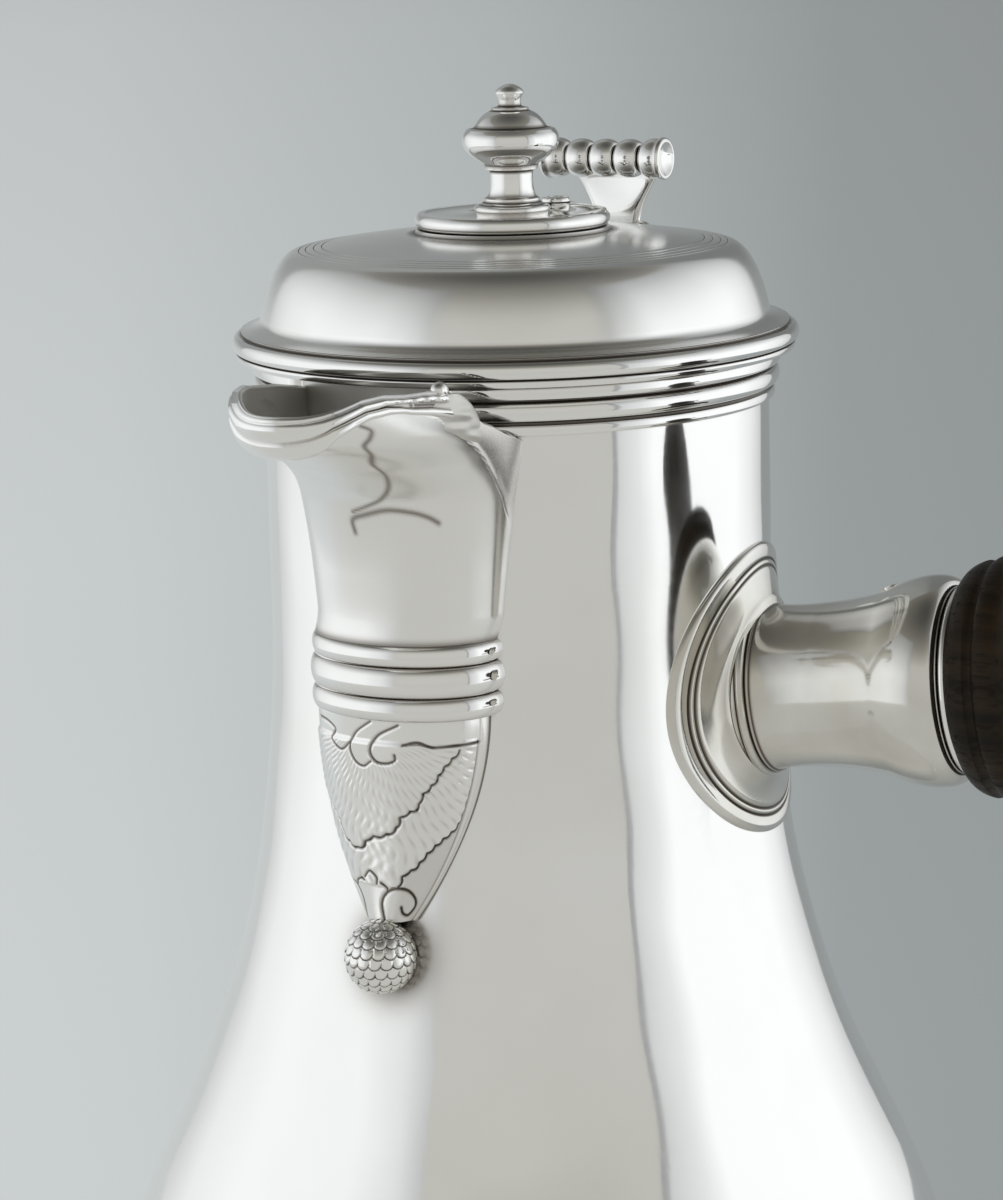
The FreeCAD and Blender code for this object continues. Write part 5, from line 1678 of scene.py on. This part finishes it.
@dataclass
class Thumbpiece:
    """The turned roll on its scooped leaf, with a small scroll at either side."""

    roll_y: float = 31.4
    roll_z: float = 235.5
    roll: float = 20.6
    roll_end: float = 4.1
    beads: int = 3
    leaf_radius: float = 35.0
    foot: float = 219.7
    shoulder: float = 225.4
    waist: float = 228.2
    scroll: tuple = (1.5, 1.2, 1.3)
    scroll_place: float = 4.4

    def build(self, maker: Maker) -> None:
        """Makes the roll, the leaf and the scrolls.

        Args:
            maker: Adds the pieces.
        """
        half = self.roll / 2
        first = -half + self.roll_end
        made = Outline(0.0, -half + 1.0)
        made.curve((1.6, -half + 0.9), (2.6, -half)).curve((3.25, -half - 0.1), (3.3, -half + 0.6))
        made.curve((3.0, -half + 1.1), (3.1, -half + 1.6))
        made.curve((3.2, first - 1.2), (2.6, first - 0.1), (1.8, first))
        pitch = (self.roll - 2 * self.roll_end) / self.beads
        for bead in range(self.beads):
            made.bead(1.15, (1.85, first + pitch * (bead + 1) - 0.12))
            made.to((1.8, first + pitch * (bead + 1)))
        last = -first
        made.curve((2.6, last + 0.1), (3.2, last + 1.2), (3.1, half - 1.6))
        made.curve((3.0, half - 1.1), (3.3, half - 0.6))
        made.curve((3.25, half + 0.1), (2.6, half)).curve((1.6, half - 0.9), (0.0, half - 1.0))
        place = Matrix.Translation((0, self.roll_y, self.roll_z)) @ Matrix.Rotation(math.radians(90), 4, "Y")
        maker.turned("thumb_roll", made, Rides.LID, ("thumbpiece_roll",), soft=0.08, segments=72,
                     place=place)
        self.leaf(maker)

    def leaf(self, maker: Maker) -> None:
        """Makes the scooped leaf under the roll, and its scrolls.

        Args:
            maker: Adds the pieces.
        """
        rows = np.linspace(0, 1, 60)
        spine = bezier(((self.leaf_radius, self.foot), (self.leaf_radius, self.waist),
                        (self.leaf_radius + 0.9, (self.waist + self.roll_z) / 2),
                        (self.leaf_radius - 0.9, self.roll_z)), len(rows))
        flank = bezier(((5.0, self.foot), (2.2, self.shoulder - 1.2), (4.2, self.waist + 0.3),
                        (7.1, self.roll_z - 2.6)), 200)
        half = np.interp(spine[:, 1], flank[:, 1], flank[:, 0])[:, None]
        around = circle(64)[None]
        across = np.sign(np.cos(around)) * np.abs(np.cos(around)) ** 0.5
        thick = np.sign(np.sin(around)) * np.abs(np.sin(around)) ** 0.6
        scoop = 0.75 * (1 - across**2) * (thick < 0) * ramped(rows, 0.3, 0.8)[:, None]
        points = stacked(half * across, spine[:, :1] + 0.7 * thick + scoop, spine[:, 1:])
        maker.grid("thumb_leaf", points, Rides.LID, ("thumbpiece_leaf",), around=True)
        scrolls = [ball((side * self.scroll_place, self.leaf_radius - 0.2, self.shoulder - 1.2), self.scroll)
                   for side in (-1, 1)]
        maker.lumps("thumb_scrolls", scrolls, Rides.LID)


@dataclass
class Feet:
    """Three cast feet with their shield plates on the belly.

    Attributes:
        ring: Radius of the circle that the feet stand on.
        legs: Height, shift from that circle and radius along a leg.
    """

    body: PotBody
    count: int = 3
    ring: float = 60.0
    plate_half: float = 12.0
    plate_low: float = 17.4
    plate_top: float = 56.0
    plate_shoulder: float = 49.0
    legs: tuple = ((1.7, 0.0, 6.1), (5.2, 0.0, 4.4), (9.4, 0.0, 3.8), (18.7, 0.0, 4.8), (28.0, 0.0, 6.6),
                   (33.0, -2.0, 5.4), (36.0, -3.8, 3.8))

    def half_width(self, height: np.ndarray) -> np.ndarray:
        """Half the width of a plate at a height.

        Args:
            height: The heights.

        Returns:
            Half the width at each.
        """
        half, top, shoulder, low = self.plate_half, self.plate_top, self.plate_shoulder, self.plate_low
        side = bezier(((0.0, low), (half / 2, low + 7), (half, shoulder - 14), (half, shoulder)), 200)
        middle = (top + shoulder) / 2
        crest = bezier(((half, shoulder), (half / 2, shoulder), (half / 3, middle), (0.0, top)), 200)
        whole = np.concatenate((side, crest[1:]))
        return np.interp(height, whole[:, 1], whole[:, 0])

    def build(self, maker: Maker) -> None:
        """Makes each foot and its plate.

        Args:
            maker: Adds the pieces.
        """
        height = np.linspace(self.plate_low, self.plate_top, 90)[:, None]
        across = np.linspace(-1, 1, 61)[None]
        half = self.half_width(height[:, 0])[:, None]
        end = np.minimum(height - self.plate_low, self.plate_top - height)
        edge = np.minimum((1 - np.abs(across)) * half, end)
        rise = -0.25 + 1.45 * ramped(edge, 0.0, 0.5) - 0.45 * ramped(edge, 1.2, 1.8)
        sideways = across * half
        out = np.sqrt((self.body.radius(height) + rise) ** 2 - sideways**2)
        plate = stacked(out, sideways, height)
        level = np.linspace(self.legs[0][0], self.legs[-1][0], 70)
        shift, radius = eased(self.legs, level).T[..., None]
        around = circle(60)[None]
        leg = stacked(self.ring + shift + radius * np.cos(around), radius * np.sin(around), level[:, None])
        pad = Outline(0.0, 0.0)
        pad.to((6.6, 0.0)).bead(0.85, (6.6, 3.4)).to((0.0, 3.5))
        for index in range(self.count):
            spin = Matrix.Rotation(2 * math.pi * index / self.count, 4, "Z")
            turn = np.array(spin)[:3, :3].T
            maker.grid(f"foot_shield_{index + 1}", plate @ turn, Rides.POT, (f"foot_plate_{index + 1}",))
            maker.grid(f"foot_leg_{index + 1}", leg @ turn, Rides.POT, (f"foot_{index + 1}",), around=True)
            maker.turned(f"foot_pad_{index + 1}", pad, Rides.POT, (), soft=0.15, segments=80,
                         place=spin @ Matrix.Translation((self.ring, 0, 0)))


# The studio


@dataclass
class Studio:
    """Camera, lamps and the plain sweep behind the pot, which glows with painted light.

    The camera's distance and height are in millimetres, and the sheets' sizes in metres.

    Attributes:
        wings: Angle from the camera's direction, and brightness, along each lit wing.
        wing_fade: Share of a wing's height and of its brightness.
        dark_card: Angle, spread, distance, foot and top of the dark card.
        sky: Colour of the room's light from below to overhead.
        fan: Colour of the sweep's painted light from left to right.
        fade: Height, and share of the sweep's painted light there.
        fan_point: Distance in front of the pot from which the sweep's colours fan out.
        fan_half: Half width of that fan at one metre.
        front: Glow of the sweep in front of the pot.
        back_stops: Depth, moved by back_shift, at which the sweep's fanned painted light begins and is full.
    """

    image: tuple[int, int] = (1003, 1200)
    focal_pixels: float = 3390.0
    sensor: float = 36.0
    azimuth: float = 28.0
    distance: float = 500.0
    height: float = 277.1
    pitch: float = 11.89
    yaw: float = -0.35
    roll: float = -1.47
    wing_distance: float = 0.62
    wing_height: float = 0.95
    wings: tuple = (((-140.0, 0.66), (-122.0, 0.9), (-100.0, 1.0), (-62.0, 0.98), (-46.0, 0.82),
                     (-36.0, 0.58)),
                    ((40.5, 0.36), (42.5, 0.4), (43.5, 0.68), (54.0, 0.84), (62.0, 1.06), (112.0, 1.08),
                     (128.0, 0.9), (142.0, 0.62)))
    wing_fade: tuple = ((0.0, 1.0), (0.36, 1.0), (0.5, 0.8), (0.75, 0.52), (1.0, 0.35))
    dark_card: tuple = (75.0, 16.0, 0.6, 0.05, 0.077)
    sky: tuple = ((0.0, (0.54, 0.54, 0.52)), (0.5, (0.57, 0.57, 0.55)), (0.6, (0.57, 0.565, 0.54)),
                  (0.72, (0.55, 0.545, 0.51)), (0.86, (0.27, 0.265, 0.235)), (1.0, (0.08, 0.08, 0.075)))
    fan: tuple = ((0.0, (0.5, 0.53, 0.535)), (0.12, (0.49, 0.52, 0.525)), (0.5, (0.38, 0.41, 0.415)),
                  (0.8, (0.24, 0.265, 0.27)), (1.0, (0.22, 0.24, 0.245)))
    fade: tuple = ((0.0, 1.0), (0.2, 0.88), (0.32, 0.7), (0.6, 0.42), (1.0, 0.4))
    fan_point: float = 0.5
    fan_half: float = 0.16
    front: tuple = (0.47, 0.47, 0.45, 1.0)
    back_shift: float = 0.5
    back_stops: tuple = ((0.42, 0.0), (0.62, 1.0))
    wing_tint: tuple = (0.975, 1.0, 1.01)
    card_colour: tuple = (0.1, 0.105, 0.11, 1.0)
    sweep_colour: tuple = (0.2, 0.2, 0.2, 1.0)
    sweep_front: tuple = (-4.0, -1.0)
    sweep_flat: float = 0.9
    sweep_bend: float = 0.9
    sweep_top: float = 3.0
    backdrop_half: float = 3.0
    clip: tuple = (0.01, 50.0)
    sheet_rows: int = 13
    sheet_columns: int = 141

    def camera(self) -> None:
        """Sets the camera at the photograph's place."""
        data = bpy.data.cameras.new("camera")
        data.sensor_width = self.sensor
        data.lens = self.focal_pixels * self.sensor / max(self.image)
        data.clip_start, data.clip_end = self.clip
        made = bpy.data.objects.new("camera", data)
        bpy.context.scene.collection.objects.link(made)
        turn = math.radians(self.azimuth)
        pitch, yaw, roll = (math.radians(angle) for angle in (self.pitch, self.yaw, self.roll))
        spin = Matrix.Rotation(turn, 3, "Z")
        ahead = spin @ Vector((math.sin(yaw) * math.cos(pitch), math.cos(yaw) * math.cos(pitch),
                               -math.sin(pitch)))
        right = spin @ Vector((math.cos(yaw), -math.sin(yaw), 0.0))
        up = right.cross(ahead)
        across = math.cos(roll) * right + math.sin(roll) * up
        upright = -math.sin(roll) * right + math.cos(roll) * up
        made.matrix_world = Matrix.Translation(
            (self.distance * math.sin(turn) * MM, -self.distance * math.cos(turn) * MM, self.height * MM)
        ) @ Matrix((across, upright, -ahead)).transposed().to_4x4()
        bpy.context.scene.camera = made

    @staticmethod
    def sheet(name: str, points: np.ndarray) -> bpy.types.Object:
        """Adds a smooth sheet over a grid of points.

        Args:
            name: The sheet's name.
            points: Its points by row and column.

        Returns:
            The sheet.
        """
        mesh = bpy.data.meshes.new(name)
        mesh.from_pydata(points.reshape(-1, 3).tolist(), [], grid_faces(*points.shape[:2]).tolist())
        mesh.shade_smooth()
        made = bpy.data.objects.new(name, mesh)
        bpy.context.scene.collection.objects.link(made)
        return made

    def bowed(self, name: str, start: float, end: float, distance: float, height: float,
              low: float = 0.0) -> bpy.types.Object:
        """Stands a bowed sheet round the pot, out of the camera's sight.

        Args:
            name: The sheet's name.
            start: Where it begins, in degrees from the camera's direction.
            end: Where it ends.
            distance: Its distance from the pot's axis.
            height: Height of its top.
            low: Height of its foot.

        Returns:
            The sheet.
        """
        angle = np.radians(self.azimuth + np.linspace(start, end, self.sheet_columns))[None]
        level = np.linspace(low, height, self.sheet_rows)[:, None]
        points = stacked(distance * np.sin(angle), -distance * np.cos(angle), level)
        sheet = self.sheet(name, points)
        sheet.visible_camera = False
        return sheet

    def lamps(self) -> None:
        """Stands a lit wing on each side, and a low dark card on the right."""
        lit, graph = blank_material("lit_cloth")
        glow = graph.node("ShaderNodeAttribute", {"attribute_name": "glow"}, {}, "Color")
        graph.surface(graph.node("ShaderNodeEmission", {}, {"Color": glow, "Strength": 1.0}))
        fade = np.array(self.wing_fade)
        rise = np.interp(np.linspace(0, 1, self.sheet_rows), fade[:, 0], fade[:, 1])[:, None, None]
        for index, levels in enumerate(np.array(wing) for wing in self.wings):
            ends = levels[0, 0], levels[-1, 0]
            wing = self.bowed(f"wing_{index}", *ends, self.wing_distance, self.wing_height)
            across = np.linspace(*ends, self.sheet_columns)
            level = np.interp(across, levels[:, 0], levels[:, 1])[None, :, None] * rise
            tint = np.concatenate((level * self.wing_tint, np.ones_like(level)), 2)
            layer = wing.data.attributes.new("glow", "FLOAT_COLOR", "POINT")
            layer.data.foreach_set("color", tint.astype(np.float32).ravel())
            wing.data.materials.append(lit)
        middle, spread, away, low, tall = self.dark_card
        card = self.bowed("dark_card", middle - spread / 2, middle + spread / 2, away, tall, low)
        card.data.materials.append(self.paper("dark_paper", self.card_colour))

    def paper(self, name: str, colour: tuple, glow: bool = False) -> bpy.types.Material:
        """Matt paper, glowing with painted light where asked.

        Args:
            name: The material's name.
            colour: Its colour.
            glow: Whether it glows with painted light, strongest on the left.

        Returns:
            The material.
        """
        made, graph = blank_material(name)
        inputs = {"Base Color": colour, "Roughness": 0.9}
        if glow:
            # Painted light: the glow is brightest on the left, dims to the right and with height, and gives
            # way to an even glow in front of the pot.
            place = graph.place()
            across, depth = graph.axis(place, "X"), graph.axis(place, "Y")
            share = across / (depth + self.fan_point).most(0.1) * (0.5 / self.fan_half) + 0.5
            behind = graph.shades(share, self.fan)
            back = graph.ramp(depth + self.back_shift, *self.back_stops)
            height = graph.axis(place, "Z")
            dimmed = graph.mix(graph.ramp(height, *self.fade), (0.0, 0.0, 0.0, 1.0), behind)
            inputs["Emission Color"] = graph.mix(back, self.front, dimmed)
            inputs["Emission Strength"] = 1.0
        graph.surface(graph.node("ShaderNodeBsdfPrincipled", {}, inputs))
        return made

    def sweep(self) -> None:
        """Lays a pale sheet that curves up behind the pot, glowing with painted light."""
        flat, bend = self.sweep_flat, self.sweep_bend
        turns = np.linspace(0, math.pi / 2, 24)
        depth = np.concatenate((self.sweep_front, flat + bend * np.sin(turns), [flat + bend]))
        height = np.concatenate(([0.0, 0.0], bend * (1 - np.cos(turns)), [self.sweep_top]))
        across = np.linspace(-self.backdrop_half, self.backdrop_half, 9)
        sheet = self.sheet("sweep", stacked(across[None], depth[:, None], height[:, None]))
        sheet.rotation_euler = (0, 0, math.radians(self.azimuth))
        sheet.data.materials.append(self.paper("pale_paper", self.sweep_colour, True))

    def room(self) -> None:
        """Gives the room its grey light, darker overhead."""
        world = bpy.data.worlds.new("room")
        world.use_nodes = True
        graph = Graph(world.node_tree)
        way = graph.node("ShaderNodeTexCoord", {}, {}, "Generated")
        colour = graph.shades(graph.axis(way, "Z") * 0.5 + 0.5, self.sky)
        light = graph.node("ShaderNodeBackground", {}, {"Color": colour, "Strength": 1.0})
        graph.node("ShaderNodeOutputWorld", {}, {"Surface": light})
        bpy.context.scene.world = world

    def build(self) -> None:
        """Sets up the whole studio."""
        self.room()
        self.lamps()
        self.sweep()
        self.camera()
        bpy.context.scene.view_settings.view_transform = "Standard"


def dress(frame: dict, maker: Maker) -> None:
    """Gives every node its finish, for those that show.

    Args:
        frame: The loaded frame.
        maker: Holds the finishes.
    """
    for name, node in frame["nodes"].items():
        node.data.materials.clear()
        node.data.materials.append(maker.wood if name == "handle_grip" else maker.silver)
        node.data.set_sharp_from_angle(angle=SHARP_ANGLE)


def main() -> None:
    """Builds the pot and its studio."""
    logging.basicConfig(level=logging.INFO, format="%(name)s: %(message)s")
    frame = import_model()
    finishes = (Silver("polished_silver"),
                Silver("chased_silver", 0.11, 0.5, 1.0),
                Silver("dull_silver", 0.4, 0.6, 0.15,
                       clean=(0.74, 0.73, 0.7, 1.0), film=(0.62, 0.6, 0.55, 1.0)),
                Silver("satin_silver", 0.17, 0.5),
                Silver("worn_silver", 0.08, 0.9, 1.0,
                       clean=(0.82, 0.81, 0.78, 1.0), film=(0.6, 0.57, 0.5, 1.0)),
                DarkWood("handle_wood"))
    maker = Maker(*(finish.material() for finish in finishes))
    dress(frame, maker)
    body = PotBody()
    body.build(maker)
    spout = Spout(body)
    spout.build(maker)
    Ornament(spout).build(maker)
    Handle(body).build(maker)
    Feet(body).build(maker)
    Lid().build(maker)
    Thumbpiece().build(maker)
    Finial().build(maker)
    Studio().build()


if __name__ == "__main__":
    main()
